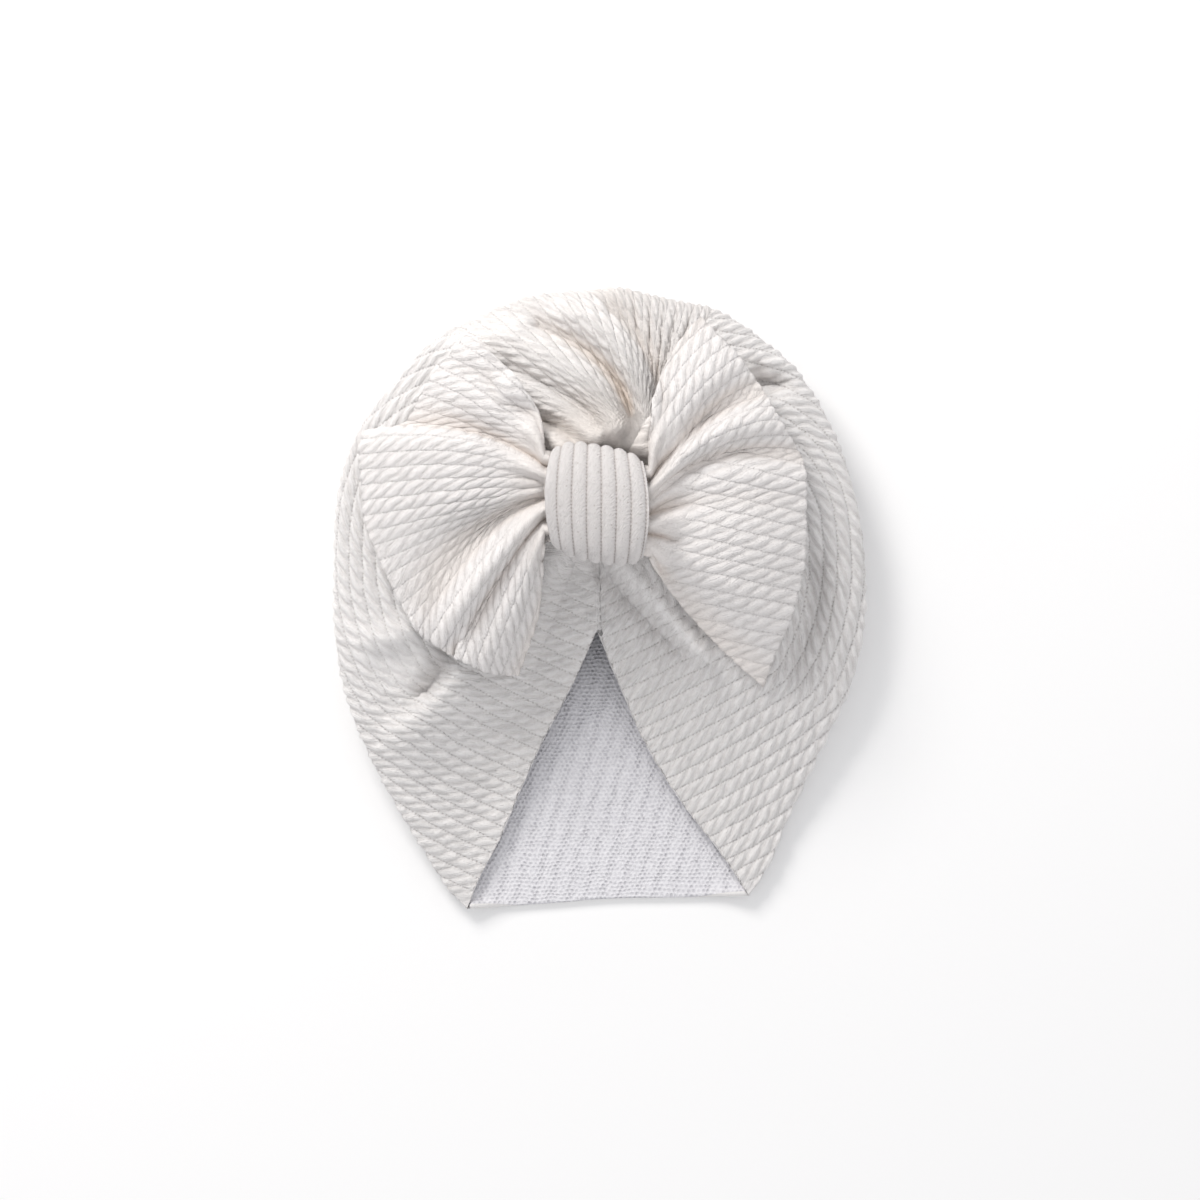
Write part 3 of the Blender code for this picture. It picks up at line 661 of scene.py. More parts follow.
sideAngle, sideReach = polarLine(outlineRows)
hemAngle, hemReach = polarLine(hemRows)
hemAngle = hemAngle - 2 * math.pi * round((hemAngle[-1] - sideAngle[0]) / (2 * math.pi))
rightCorner, leftCorner = sideAngle[0], sideAngle[-1]
creasePaths = {row["name"]: creasePath(row) for row in creaseRows}
edgePaths = [catmull([plan(row) for row in rows], 2) for rows in (leftEdgeRows, rightEdgeRows)]


def wrapAngle(angle):
    base = leftCorner - 2 * math.pi
    return base + np.mod(angle - base, 2 * math.pi)


def outlineReach(angle):
    turn = wrapAngle(angle)
    hem, side = np.interp(turn, hemAngle, hemReach), np.interp(turn, sideAngle, sideReach)
    return np.where(turn < rightCorner, hem, side)


def edgeReaches(angles):
    # the outline's reach in each column, exact at the V's corners
    reach = outlineReach(angles)
    reach[0], reach[-1] = sideReach[0], sideReach[-1]
    return reach


def sideValue(angle, name):
    turns = np.degrees(wrapAngle(angle))
    turns = np.where(turns < sideRows[0]["angle"], turns + 360, turns)
    keys = [row["angle"] for row in sideRows] + [sideRows[0]["angle"] + 360]
    fine = catmull(np.column_stack([keys, [row[name] for row in sideRows] + [sideRows[0][name]]]), 8)
    return np.interp(turns, fine[:, 0], fine[:, 1])


def heightReach(angle, gap):
    # the outline's reach, rounded off at the corners of the V for the points well inside it
    exact = outlineReach(angle)
    soft = np.mean([outlineReach(angle + math.radians(turn)) for turn in range(-20, 21, 4)], axis=0)
    inside = 1 - smoothStep(0.45, 0.95, gap / exact)
    return exact + (soft - exact) * inside


def fanLift(x, y):
    turn = np.degrees(np.arctan2(y - fanSizes["y"], x - fanSizes["x"]))
    gap = np.hypot(x - fanSizes["x"], y - fanSizes["y"])
    share = (turn - fanSizes["low"]) / (fanSizes["high"] - fanSizes["low"])
    window = smoothStep(0.0, 0.12, share) * (1 - smoothStep(0.88, 1.0, share))
    window = window * smoothStep(0.0, fanSizes["start"], gap)
    ripple = np.abs(np.sin(math.pi * np.clip(share, 0, 1) * fanSizes["gathers"])) ** 0.8 - 0.6
    return window * ripple * fanSizes["lift"] * crownHeight


def creaseLift(x, y, onlyUp=False, widen=1.0):
    # widen makes the valleys broader, for the wall inside; onlyUp leaves the valleys and the fine gathers out
    total = np.zeros(np.shape(x))
    for row in creaseRows:
        if onlyUp and row["lift"] < 0:
            continue
        gap, along, side = lineGap(x, y, creasePaths[row["name"]])
        width = (row["near"] + (row["far"] - row["near"]) * along) * half[0]
        width = width * np.where(side > 0, row["left"], row["right"]) * (widen if row["lift"] < 0 else 1.0)
        total += row["lift"] * crownHeight * np.exp(-(gap / width) ** row["power"])
    return total if onlyUp else total + fanLift(x, y)


def softReach(gap):
    return np.sqrt(gap ** 2 + crownSizes["seatRadius"] ** 2) - crownSizes["seatRadius"]


def crownTop(x, y, onlyUp=False, creased=True, widen=1.0):
    # height of the front at any plan point
    angle, gap = knotTurn(x, y), knotGap(x, y)
    share = np.clip(softReach(gap) / softReach(heightReach(angle, gap)), 0.0, 1.0)
    fold = sideValue(angle, "fold") * crownHeight
    shoulder = sideValue(angle, "shoulder") * crownHeight
    level = crownHeight + (shoulder - crownHeight) * share ** sideValue(angle, "fall")
    base = fold + (level - fold) * np.sqrt(np.clip(1 - share ** 3.0, 0, 1))
    return base + creaseLift(x, y, onlyUp, widen) * (1 - smoothStep(0.84, 1.0, share)) if creased else base


def edgeSag(x, y):
    sag = np.zeros(np.shape(x))
    for path in edgePaths:
        gap, along, side = lineGap(x, y, path)
        reach = crownSizes["edgeReach"]
        sag = np.maximum(sag, np.exp(-(gap / reach) ** 2) * np.sin(math.pi * np.clip(along, 0, 1)) ** 0.8)
    return 1 - crownSizes["edgeDrop"] * sag


def edgeLine(rows, shares):
    line = np.vstack([[knot], catmull([plan(row) for row in rows], 12)])
    steps = np.hypot(*np.diff(line, axis=0).T)
    run = np.concatenate([[0], np.cumsum(steps) / steps.sum()])
    return np.column_stack([np.interp(shares, run, line[:, 0]), np.interp(shares, run, line[:, 1])]), run[1]


def frontGrid(angles, rows, widen=1.0):
    # points of the front, column by column round the knot, with the end columns on the seam and the V's edges
    seamShare = edgeLine(rightEdgeRows, np.array([0.0]))[1]
    leftShare = edgeLine(leftEdgeRows, np.array([0.0]))[1]
    shares = 1 - (1 - np.linspace(0, 1, rows + 1)) ** 1.25
    apexRow = int(np.argmin(abs(shares - seamShare)))
    shares[apexRow] = seamShare
    leftShares = np.where(shares <= seamShare, shares * leftShare / seamShare,
                          leftShare + (shares - seamShare) * (1 - leftShare) / (1 - seamShare))
    rightLine, leftLine = edgeLine(rightEdgeRows, shares)[0], edgeLine(leftEdgeRows, leftShares)[0]
    reach = edgeReaches(angles)[:, None]
    grid = np.dstack([knotX + np.cos(angles)[:, None] * reach * shares,
                      knotY + np.sin(angles)[:, None] * reach * shares])
    rightWeight = 1 - smoothStep(0, math.radians(70), angles - angles[0])
    leftWeight = 1 - smoothStep(0, math.radians(70), angles[-1] - angles)
    grid += rightWeight[:, None, None] * (rightLine - grid[0])[None]
    grid += leftWeight[:, None, None] * (leftLine - grid[-1])[None]
    top = crownTop(grid[:, :, 0], grid[:, :, 1], widen=widen) * edgeSag(grid[:, :, 0], grid[:, :, 1])
    top[:, -1] = sideValue(angles, "fold") * crownHeight
    return np.dstack([grid, top]), apexRow


def backGrid(angles, reach, edgeHeight, foldRows, backRows):
    # the fold under the outline, then the flat back in to the point below the knot
    radius = crownSizes["foldRadius"] / reach
    rows = []
    for turn in np.linspace(0, math.pi / 2, foldRows + 1):
        rows.append((1 - radius * (1 - math.cos(turn)), edgeHeight * (1 - math.sin(turn))))
    for k in range(1, backRows + 1):
        rows.append(((1 - radius) * (1 - k / backRows), np.zeros_like(reach)))
    points = [(knotX + np.cos(angles) * reach * share, knotY + np.sin(angles) * reach * share, height)
              for share, height in rows]
    return np.array(points).transpose(2, 0, 1)


# Course of the cords on the crown. Below, arcs run round from the V to the sides about a centre under the
# knot; above it they bend round two shoulder centres; the gathered top's cords run up from the knot.
fieldSizes = {
    "centreX": 0.0, "centreY": 0.0133, "shoulder": 0.0333, "squareness": 2.5, "chevron": 0.26,
    "gatherX": 0.0140, "gatherY": 0.0480, "gatherReach": 0.0700, "gatherLow": 59.0, "gatherHigh": 128.5,
    "gatherStart": 0.4, "fineTurn": 1.72, "fineReach": 0.0250,
}


def arcField(x, y, upper):
    dx, dy = x - fieldSizes["centreX"], y - fieldSizes["centreY"]
    shoulder, power = fieldSizes["shoulder"], fieldSizes["squareness"]
    if upper:
        out = np.maximum(np.abs(dx) - shoulder, 1e-6)
        up = np.maximum(dy, 0)
        turn = np.arctan2(up, out)
        reach = shoulder + (out ** power + up ** power) ** (1 / power)
        return np.stack([np.where(dx > 0, turn, -turn), reach, np.full_like(x, shoulder)], axis=-1)
    turn = np.arctan2(dy, np.abs(dx))
    down = np.abs(turn + math.pi / 2)
    chevron = np.where(down < 1, fieldSizes["chevron"] * (down ** 2 - down), 0)
    reach = np.hypot(dx, dy) / np.exp(chevron)
    return np.stack([np.where(dx > 0, turn, -turn), reach, np.zeros_like(x)], axis=-1)


def gatherField(x, y):
    gx, gy = x - fieldSizes["gatherX"], y - fieldSizes["gatherY"]
    turn = np.arctan2(gy, gx)
    fine = np.maximum(fieldSizes["fineTurn"] - turn, 0) * fieldSizes["fineReach"]
    across = fieldSizes["gatherStart"] - turn * fieldSizes["gatherReach"] + fine
    return np.stack([np.hypot(gx, gy), across, -np.ones_like(x)], axis=-1)


def knitField(x, y):
    # each face takes its corners from the one course that it lies in
    fields = (arcField(x, y, False), arcField(x, y, True), gatherField(x, y))
    low, high, top = (cornersOf(field) for field in fields)
    cx, cy = (cornersOf(value[..., None]).mean(axis=2)[..., 0] for value in (x, y))
    turn = np.degrees(knotTurn(cx, cy))
    inTop = (turn > fieldSizes["gatherLow"]) & (turn < fieldSizes["gatherHigh"])
    upper = cy > fieldSizes["centreY"]
    return np.where(inTop[..., None, None], top, np.where(upper[..., None, None], high, low))


def crownColumns(count):
    # directions of the columns, evenly spaced along the outline and closer over the gathered top
    turn = np.linspace(rightCorner, leftCorner, 2000)
    degrees = np.degrees(turn)
    top = smoothStep(50, 62, degrees) * (1 - smoothStep(140, 155, degrees))
    weight = outlineReach(turn) * (1 + 0.8 * top)
    run = np.concatenate([[0], np.cumsum((weight[1:] + weight[:-1]) / 2)])
    return np.interp(np.linspace(0, run[-1], count), run, turn)


mostExtra = 0.03


def unrolled(front):
    # plan points pushed outwards by the length that a slope adds, so that cords keep their width on it
    grid = np.dstack([front[:, :, :2], crownTop(front[:, :, 0], front[:, :, 1], creased=False)])
    grid[:, -1, 2] = front[:, -1, 2]
    extra = runLength(grid, 1) - runLength(grid[:, :, :2], 1)
    out = grid[:, :, :2] - knot
    length = np.maximum(np.linalg.norm(out, axis=-1, keepdims=True), 1e-6)
    return grid[:, :, :2] + out / length * np.minimum(extra, mostExtra)[:, :, None], extra[:, -1]


def foldKnit(grid, extra):
    # the fold carries the front's cords on round the side
    run = np.minimum(extra, mostExtra)[:, None] + runLength(grid, 1)
    out = grid[:, :1, :2] - knot
    flat = grid[:, :1, :2] + out / np.linalg.norm(out, axis=-1, keepdims=True) * run[:, :, None]
    return knitField(flat[:, :, 0], flat[:, :, 1])


def flatKnit(grid):
    return np.stack([grid[:, :, 1], grid[:, :, 0] + 0.3, -np.ones(grid.shape[:2])], axis=-1)


# where the knit is flatter or deeper, and where painted shade tints it warmer: places as (x, y), reaches as
# (near, far) or (wide, high)
crownShade = {
    "knotFade": (0.012, 0.040),
    "topTurns": (50, 66, 122, 136),
    "topFlat": 0.15,
    "smoothPlace": (-0.0640, -0.0190), "smoothReach": (0.0130, 0.0110), "smooth": 0.60,
    "deepPlace": (0.0720, -0.0060), "deepReach": (0.0120, 0.0180), "deep": 0.3,
    "rollReach": 0.0036, "roll": 0.50,
    "cornerFade": 0.009,
    "warmRise": (0.012, 0.022), "warmSide": (0.045, 0.060),
    "warmNear": (0.012, 0.034), "warmFar": (0.030, 0.062),
    "nearUp": 0.012,
    "valleys": 8.0,
}


def crownPuff(front, apex):
    # how far the knit stands out (puff), and how much painted shade tints its colour warmer, at each point of
    # the front
    look = crownShade
    x, y = front[:, :, 0], front[:, :, 1]
    gap, turn = knotGap(x, y), np.degrees(knotTurn(x, y))
    topTurns = look["topTurns"]
    inTop = smoothStep(*topTurns[:2], turn) * (1 - smoothStep(*topTurns[2:], turn))
    smooth, deep = (np.exp(-((x - look[name + "Place"][0]) / look[name + "Reach"][0]) ** 2
                           - ((y - look[name + "Place"][1]) / look[name + "Reach"][1]) ** 2) * look[name]
                    for name in ("smooth", "deep"))
    roll = look["roll"] * np.exp(-(lineGap(x, y, creasePaths["lower roll"])[0] / look["rollReach"]) ** 2)
    puff = smoothStep(*look["knotFade"], gap) * (1 - look["topFlat"] * inTop)
    for column in (0, -1):
        puff[column, :apex + 1] = 0
        corner = np.hypot(x - front[column, -1, 0], y - front[column, -1, 1])
        puff = puff * smoothStep(0.0, look["cornerFade"], corner)
    puff = puff * (1 - smooth) * (1 + deep) * (1 - roll)
    # painted shade: in the valleys of the creases over the top, weaker away from the knot; round the knot
    # itself; and a little over the gathered top
    valleys = np.clip(-creaseLift(x, y, widen=1.3) / crownHeight * look["valleys"], 0, 1)
    window = smoothStep(*look["warmRise"], y - knotY) * (1 - smoothStep(*look["warmSide"], np.abs(x)))
    near = 1 - smoothStep(*look["warmNear"], knotGap(x, y - look["nearUp"]))
    warm = valleys * (0.85 - 0.60 * smoothStep(*look["warmFar"], gap)) * window + near * 0.30 + inTop * 0.08
    return puff, np.clip(warm, 0, 1)


def makeCrown():
    store = meshStore()
    angles = crownColumns(crownSizes["columns"])
    front, apex = frontGrid(angles, crownSizes["rows"])
    flat, extra = unrolled(front)
    puff, warm = crownPuff(front, apex)
    outFront = store.addGrid(front, knitField(flat[:, :, 0], flat[:, :, 1]), puff, flip=True, warm=warm)
    reach, fold = edgeReaches(angles), sideValue(angles, "fold") * crownHeight
    foldRows, backRows = 7, 5
    back = backGrid(angles, reach, fold, foldRows, backRows)
    fading = np.linspace(1, 0, foldRows + 1)[None, :] * puff[:, -1:]
    store.addGrid(back[:, :foldRows + 1], foldKnit(back[:, :foldRows + 1], extra), fading, flip=True)
    store.addGrid(back[:, foldRows:], flatKnit(back[:, foldRows:]), 0.0, flip=True)
    # the hem of the back panel
    turns = np.linspace(leftCorner - 2 * math.pi, rightCorner, crownSizes["hemColumns"])
    share = np.linspace(0, 1, len(turns))
    curl = np.exp(-(np.minimum(share, 1 - share) / crownSizes["hemCurl"]) ** 2)
    hemReaches = np.interp(turns, hemAngle, hemReach)
    hemFold = np.where(share < 0.5, fold[-1], fold[0]) * curl
    hem = backGrid(turns, hemReaches, hemFold, foldRows, backRows)
    outHem = store.addGrid(hem, flatKnit(hem), 0.0, flip=True)
    # the inner wall, one cloth inside
    inAngles = angles[::2]
    inFront, inApex = frontGrid(inAngles, crownSizes["innerRows"], 1.7)
    inBack = backGrid(inAngles, reach[::2], fold[::2], 4, 4)
    inHem = backGrid(turns, hemReaches, hemFold, 4, 4)
    wall = crownSizes["cloth"]
    inFront, inBack, inHem = (grid + wall * gridNormals(grid) for grid in (inFront, inBack, inHem))
    seam = (inFront[0, :inApex + 1] + inFront[-1, :inApex + 1]) / 2
    inFront[0, :inApex + 1] = inFront[-1, :inApex + 1] = seam
    inBack[:, 0] = inFront[:, -1] = (inFront[:, -1] + inBack[:, 0]) / 2
    inFront[:, 0] = inFront[:, 0].mean(axis=0)
    inBack[:, -1] = inBack[:, -1].mean(axis=0)
    inHem[:, -1] = inBack[0, -1]
    inHem[-1], inHem[0] = inBack[0], inBack[-1]
    inner = [store.addGrid(grid, flatKnit(grid), 0.0, kind=1) for grid in (inFront, inBack, inHem)]
    # the raw edge of the mouth joins the two walls
    plain = (knitSizes["step"] / 2, knitSizes["pitch"] / 2, -1.0)
    store.zip(outFront[0, apex:], inner[0][0, inApex:], plain)
    store.zip(inner[0][-1, inApex:], outFront[-1, apex:], plain)
    store.zip(outHem[:, 0], inner[2][:, 0], plain)
    item = store.build("crownCap", (creamKnit, reverseKnit))
    addRelief(item, material=creamKnit, reverse=reverseKnit)
    makePlain(item)
    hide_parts("crown")
    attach(item, "root")
    return item


crown = makeCrown()
print("crown made", len(crown.data.polygons))


# The bow: one gathered piece of knit, pinched by the band.

bowSizes = {
    "width": 0.1460,
    "length": 0.1200,
    "cloth": 0.0013,
    "lift": 0.0094,
    "clearance": 0.0010,
    "pinchLength": 0.0300,
    "pinchGap": 0.0008,
    "shoulder": 0.0062,
    "gathers": 12,            # small ones beside the band
    "gatherLift": 0.0007,
    "rimGap": 0.0006,         # from the band's side to the start of a wing, and how much wider it gets
    "rimSpread": 0.004,
    "comeDown": 0.42,         # share of a wing in which it comes down from the pinch
    "tuckFrom": 0.82,         # share of the right wing's width past which its edge is tucked under
    "tuckFlat": 0.8,          # how much flatter and how much sooner down it is there
    "tuckDown": 0.22,
    "courseStart": 0.02,      # moves the lozenges along their cords
    "seamWidth": 0.0013,      # how far the first cord stands from the upper edge
    "hollowDepth": 0.0022,    # depth at which a hollow has its full painted shade
    "rowSteps": 20,
    "columns": 88,
    "evenOut": 7,             # columns over which the height is evened out
    "cordHeight": 0.00016,
    "lozengeHeight": 0.00050,
}
bandSizes = {
    "width": 0.0335,
    "length": 0.0395,
    "depth": 0.0230,
    "cloth": 0.0022,
    "cords": 7,
    "shift": 0.2,
    "skew": 0.15,
    "taper": 0.12,
    "relief": 0.0010,
    "barrel": 0.0013,
    "rim": 0.0008,
    "corner": 0.10,
    "seatGap": 0.0004,
    "columns": 20,
    "around": 150,
}

# fold lines from the top edge to the bottom one: place and height in the pinch; tip, bend and lift in a wing
bowRows = [
    {"pinch": 1.00, "high": -0.55,
     "leftTip": (-0.589, 0.924), "leftBend": (-0.339, 0.647), "leftLift": (0.55, 0.80),
     "rightTip": (0.469, 1.033), "rightBend": (0.272, 0.652), "rightLift": (0.55, 0.80)},
    {"pinch": 0.84, "high": 0.80,
     "leftTip": (-0.746, 0.701), "leftBend": (-0.478, 0.516), "leftLift": (0.75, 1.15),
     "rightTip": (0.634, 0.815), "rightBend": (0.415, 0.571), "rightLift": (0.90, 1.25)},
    {"pinch": 0.66, "high": -0.85,
     "leftTip": (-0.879, 0.440), "leftBend": (-0.522, 0.380), "leftLift": (0.35, 0.30),
     "rightTip": (0.746, 0.636), "rightBend": (0.482, 0.457), "rightLift": (0.40, 0.35)},
    {"pinch": 0.48, "high": 0.90,
     "leftTip": (-1.062, 0.375), "leftBend": (-0.600, 0.345), "leftLift": (1.00, 1.45),
     "rightTip": (0.817, 0.473), "rightBend": (0.527, 0.375), "rightLift": (0.95, 1.45)},
    {"pinch": 0.30, "high": 0.10,
     "leftTip": (-1.062, 0.092), "leftBend": (-0.590, 0.136), "leftLift": (0.95, 1.35),
     "rightTip": (0.920, 0.272), "rightBend": (0.527, 0.261), "rightLift": (0.50, 0.65)},
    {"pinch": 0.12, "high": -0.10,
     "leftTip": (-1.036, -0.152), "leftBend": (-0.567, -0.010), "leftLift": (0.85, 1.05),
     "rightTip": (0.942, 0.147), "rightBend": (0.549, 0.158), "rightLift": (0.80, 1.15)},
    {"pinch": -0.08, "high": -0.90,
     "leftTip": (-0.840, -0.660), "leftBend": (-0.531, -0.180), "leftLift": (0.70, 0.30),
     "rightTip": (0.942, -0.005), "rightBend": (0.571, 0.038), "rightLift": (0.80, 1.10)},
    {"pinch": -0.30, "high": 0.85,
     "leftTip": (-0.723, -0.777), "leftBend": (-0.487, -0.353), "leftLift": (0.80, 1.25),
     "rightTip": (0.937, -0.299), "rightBend": (0.558, -0.125), "rightLift": (0.90, 1.30)},
    {"pinch": -0.50, "high": -0.70,
     "leftTip": (-0.634, -0.853), "leftBend": (-0.455, -0.428), "leftLift": (0.55, 0.55),
     "rightTip": (0.888, -0.580), "rightBend": (0.513, -0.300), "rightLift": (0.88, 1.25)},
    {"pinch": -0.74, "high": 0.70,
     "leftTip": (-0.490, -0.925), "leftBend": (-0.370, -0.530), "leftLift": (0.70, 1.05),
     "rightTip": (0.812, -0.820), "rightBend": (0.460, -0.435), "rightLift": (0.75, 1.05)},
    {"pinch": -1.00, "high": -0.30,
     "leftTip": (-0.366, -0.940), "leftBend": (-0.254, -0.516), "leftLift": (0.35, 0.45),
     "rightTip": (0.759, -1.010), "rightBend": (0.415, -0.603), "rightLift": (0.35, 0.45)},
]


# lobes of each wing: the first, ridge and last fold line of each, the course of its cords in degrees where
# they don't run along the ridge, and how far they gather towards the knot (0 to 1)
lobeRows = {
    "left": ((0, 1, 2, None, 0.55), (2, 4, 6, None, 0.75), (6, 7, 8, None, 0.70), (8, 9, 10, None, 0.70)),
    "right": ((0, 1, 2, None, 0.35), (2, 3, 4, None, 0.40), (4, 5, 10, -12.0, 0.0)),
}


seat = float(crownTop(np.array([knotX]), np.array([knotY]))[0])
bandMiddle = seat + bandSizes["seatGap"] + bandSizes["depth"] / 2


def pinchLine():
    # place across the pinch (-1 to 1) and height above its middle, along the sheet inside the band
    pinch = catmull([(row["pinch"], row["high"]) for row in bowRows], bowSizes["rowSteps"])
    innerLength, innerDepth = (bandSizes[key] / 2 - bandSizes["cloth"] - bandSizes["relief"]
                               for key in ("length", "depth"))
    share = np.minimum(1.0, np.abs(pinch[:, 0]) * bowSizes["pinchLength"] / 2 / innerLength)
    room = np.sqrt(1 - share ** 2) * innerDepth
    room = room - bowSizes["cloth"] / 2 - bowSizes["pinchGap"] - bandSizes["barrel"]
    return pinch[:, 0], pinch[:, 1] * room


def foldLine(name, point, liftIndex):
    # plan place and lift of one point of every fold line of a wing
    size = np.array([bowSizes["width"] / 2, bowSizes["length"] / 2])
    rows = [(*(np.array(row[name + point]) * size), row[name + "Lift"][liftIndex] * bowSizes["lift"])
            for row in bowRows]
    return catmull(rows, bowSizes["rowSteps"])


def wingGrid(name, sign, place, high):
    count, evenOut = bowSizes["columns"], bowSizes["evenOut"]
    rim = bandSizes["width"] / 2 + bowSizes["rimGap"]
    tip, bend = foldLine(name, "Tip", 0), foldLine(name, "Bend", 1)
    skew = sign * bandSizes["skew"] * bandSizes["width"] / 2
    start = np.column_stack([np.full(len(place), sign * rim), place * bowSizes["pinchLength"] / 2 - skew])
    share = np.linspace(0, 1, len(place))
    tuck = smoothStep(bowSizes["tuckFrom"], 1.0, share) * (sign > 0)
    raised = smoothStep(0.55, 1.0, place) * (1.0 if sign > 0 else 0.6)
    wave = bowSizes["gatherLift"] * np.cos(2 * math.pi * bowSizes["gathers"] * share)
    columns = []
    for t in np.linspace(0, 1, count + 1):
        plane = bendThrough(start, bend[:, :2], tip[:, :2], t)
        begin = smoothStep(0.0, 0.07, t)
        plane[:, 1] += bowSizes["shoulder"] * raised * begin * (1 - smoothStep(0.07, 0.50, t))
        plane[:, 0] = sign * np.maximum(sign * plane[:, 0], rim + bowSizes["rimSpread"] * t)
        plane = plane + knot
        lift = bend[:, 2] * 4 * t * (1 - t) + tip[:, 2] * t * (2 * t - 1)
        lift = lift * (1 - bowSizes["tuckFlat"] * tuck)
        ground = crownTop(plane[:, 0], plane[:, 1], True) + bowSizes["cloth"] / 2 + bowSizes["clearance"]
        leave = smoothStep(0.0, bowSizes["comeDown"] - bowSizes["tuckDown"] * tuck, t)
        pleats = wave * begin * (1 - smoothStep(0.10, 0.40, t))
        height = (bandMiddle + high) * (1 - leave) + (ground + np.maximum(lift, 0)) * leave + pleats
        columns.append(np.column_stack([plane, height]))
    wing = np.array(columns)
    edge = evenOut // 2
    evened = [wing[k:len(wing) - 2 * edge + k, :, 2] for k in range(evenOut)]
    wing[edge:-edge, :, 2] = np.mean(evened, axis=0)
    return wing


def lobeKnit(wing, sign, lobes, steps):
    # each lobe's cords run beside its own ridge at a constant pitch, and meet the next lobe's at the raw edge
    run, full, flat = runLength(wing, 0), runLength(wing, 1), runLength(wing[:, :, :2], 1)
    outwards = smoothStep(0.1, 0.6, np.linspace(0, 1, len(wing)))[:, None]
    quads = np.zeros((wing.shape[0] - 1, wing.shape[1] - 1, 4, 3))
    base = bowSizes["seamWidth"]
    for first, ridge, last, course, gather in lobes:
        centre = slice(ridge * steps, ridge * steps + 1)
        if course is None:
            line = sign * np.gradient(wing[:, centre.start, :2], axis=0)
            line = line / np.linalg.norm(line, axis=-1, keepdims=True)
            away = wing[:, :, :2] - wing[:, centre, :2]
            ratio = np.abs(full - full[:, centre]) / np.maximum(np.abs(flat - flat[:, centre]), 1e-6)
            ratio = 1 + (np.clip(ratio, 1.0, 1.5) - 1) * outwards
            ridgeRun = run[:, centre]
        else:
            line = np.tile((math.cos(math.radians(course)), math.sin(math.radians(course))), (len(wing), 1))
            away = wing[:, :, :2] - wing[:1, centre, :2]
            ratio, ridgeRun = 1.0, 0.0
        down = np.stack([line[:, 1], -line[:, 0]], axis=-1)
        across = (away * down[:, None]).sum(axis=-1) * ratio
        along = sign * (bowSizes["courseStart"] + ridgeRun) + (away * line[:, None]).sum(axis=-1) * ratio
        across = across * (1 - gather) + gather * across[-1]
        along = along * (1 - gather) + gather * sign * (bowSizes["courseStart"] + run)
        shift = base - across[-1, first * steps]
        knit = np.stack([along, across + shift, -np.ones(along.shape)], axis=-1)
        quads[:, first * steps:last * steps] = cornersOf(knit)[:, first * steps:last * steps]
        base = across[-1, last * steps] + shift
    return quads


def bowHollows(wing):
    # 1 where a wing lies well below the folds beside it: the painted shade of its hollows
    high, reach = wing[:, :, 2], bowSizes["rowSteps"] + 2
    padded = np.pad(high, ((0, 0), (reach, reach)), mode="edge")
    mean = np.mean([padded[:, k:k + high.shape[1]] for k in range(2 * reach + 1)], axis=0)
    return np.clip((mean - high) / bowSizes["hollowDepth"], 0, 1)


def makeBow():
    store = meshStore()
    place, high = pinchLine()
    starts = []
    for name, sign in {"left": -1, "right": 1}.items():
        wing = wingGrid(name, sign, place, high)
        share = np.linspace(0, 1, len(wing))[:, None]
        puff = 0.05 + 0.95 * smoothStep(0.10, 0.42, share)
        # painted shade in the wing's hollows and near the band
        warm = bowHollows(wing) * 0.22 + (1 - smoothStep(0.0, 0.40, share)) * 0.18
        knit = lobeKnit(wing, sign, lobeRows[name], bowSizes["rowSteps"])
        store.addGrid(wing, knit, puff, flip=sign > 0, warm=warm)
        starts.append(wing[0])
    pinch = np.stack(starts)
    store.addGrid(pinch, np.full(pinch.shape, -1.0), 0.0, flip=True)
    item = store.build("bowKnot", (bowKnit, reverseKnit))
    addRelief(item, material=bowKnit, reverse=reverseKnit, cordHeight=bowSizes["cordHeight"],
              lozengeHeight=bowSizes["lozengeHeight"])
    addWall(item, bowSizes["cloth"], 0.0)
    makePlain(item)
    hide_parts("bow")
    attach(item, "root")
    return item


bow = makeBow()
print("bow made", len(bow.data.polygons))


# The band round the middle of the bow.

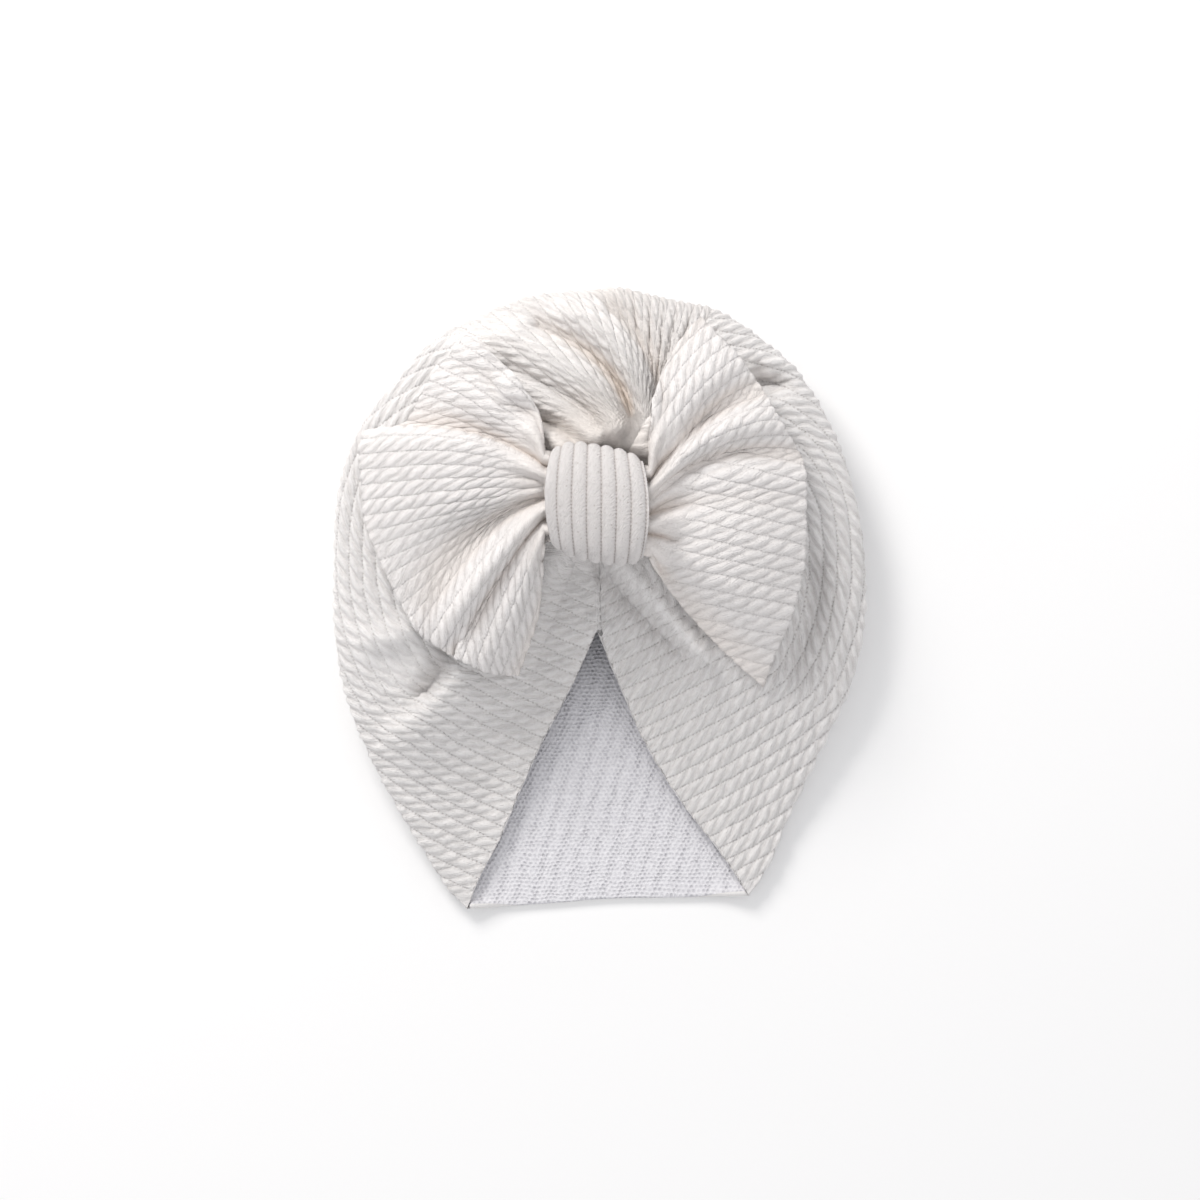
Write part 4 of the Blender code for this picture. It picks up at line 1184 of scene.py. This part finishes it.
def makeBand():
    count = bandSizes["cords"] * bandSizes["columns"]
    across = np.linspace(-0.5, 0.5, count + 1)[:, None]
    turn = np.linspace(0, 2 * math.pi, bandSizes["around"] + 1)[None, :]
    lanes = (across + 0.5) * bandSizes["cords"] + bandSizes["shift"]
    rim = 2 * np.abs(across)
    wave = bandSizes["relief"] * (np.abs(np.sin(math.pi * lanes)) ** 0.8 - 1)
    wave = wave - bandSizes["barrel"] * rim ** 2.4 - bandSizes["rim"] * rim ** 8
    up, out = np.cos(turn), np.sin(turn)
    x = across * bandSizes["width"] * (1.02 - bandSizes["taper"] * up ** 2)
    ends = np.where(up < 0, 1.0, np.where(across < 0, 1.5, 0.5))
    corner = 1 - bandSizes["corner"] * ends * rim ** 3.5
    y = up * (bandSizes["length"] / 2 * corner + wave) - bandSizes["skew"] * across * bandSizes["width"]
    z = out * (bandSizes["depth"] / 2 + wave)
    grid = np.stack([x, y, z], axis=-1) + np.array([knotX, knotY, bandMiddle])
    grid[:, -1] = grid[:, 0]
    run = runLength(grid, 1)
    lane = np.broadcast_to(lanes * knitSizes["pitch"], run.shape)
    store = meshStore()
    store.addGrid(grid, np.stack([run, lane, -np.ones(run.shape)], axis=-1), 0.0, flip=True)
    item = store.build("knotBand", (bandKnit,))
    addWall(item, bandSizes["cloth"], -1.0)
    makePlain(item)
    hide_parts("knot_band")
    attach(item, "root")
    return item


band = makeBand()
print("band made", len(band.data.polygons))


# Floor, light and camera.

stageLook = {
    "floor": (0.97, 0.97, 0.97),
    "world": 0.765,
    "worldColour": (0.985, 0.985, 1.0),
    "keyColour": (1.0, 0.975, 0.945),
    "keyPower": 10.0,
    "keySize": 0.50,
    "keyPlace": (-0.54, 0.92, 0.74),
    "cameraHeight": 2.02,
    "lens": 180.0,
    "floorHalf": 3.0,
}


def makeStage():
    data = bpy.data.meshes.new("floor")
    far = stageLook["floorHalf"]
    data.from_pydata([(-far, -far, 0), (far, -far, 0), (far, far, 0), (-far, far, 0)], [], [(0, 1, 2, 3)])
    floor = bpy.data.objects.new("floor", data)
    scene.collection.objects.link(floor)
    paint = bpy.data.materials.new("floorPaint")
    paint.use_nodes = True
    shader = paint.node_tree.nodes["Principled BSDF"]
    shader.inputs["Base Color"].default_value = (*stageLook["floor"], 1.0)
    shader.inputs["Roughness"].default_value = 0.9
    shader.inputs["Specular IOR Level"].default_value = 0.1
    data.materials.append(paint)
    world = bpy.data.worlds.new("studio")
    world.use_nodes = True
    world.node_tree.nodes["Background"].inputs[0].default_value = (*stageLook["worldColour"], 1.0)
    world.node_tree.nodes["Background"].inputs[1].default_value = stageLook["world"]
    scene.world = world
    lamp = bpy.data.lights.new("key", "AREA")
    lamp.energy = stageLook["keyPower"]
    lamp.size = stageLook["keySize"]
    lamp.color = stageLook["keyColour"]
    key = bpy.data.objects.new("key", lamp)
    key.location = stageLook["keyPlace"]
    key.rotation_euler = (-Vector(stageLook["keyPlace"])).to_track_quat("-Z", "Y").to_euler()
    scene.collection.objects.link(key)
    camera = bpy.data.objects.new("camera", bpy.data.cameras.new("camera"))
    camera.data.lens = stageLook["lens"]
    camera.data.sensor_width = 36.0
    camera.location = (0.0, 0.0, stageLook["cameraHeight"])
    scene.collection.objects.link(camera)
    scene.camera = camera
    scene.view_settings.view_transform = "Standard"


makeStage()
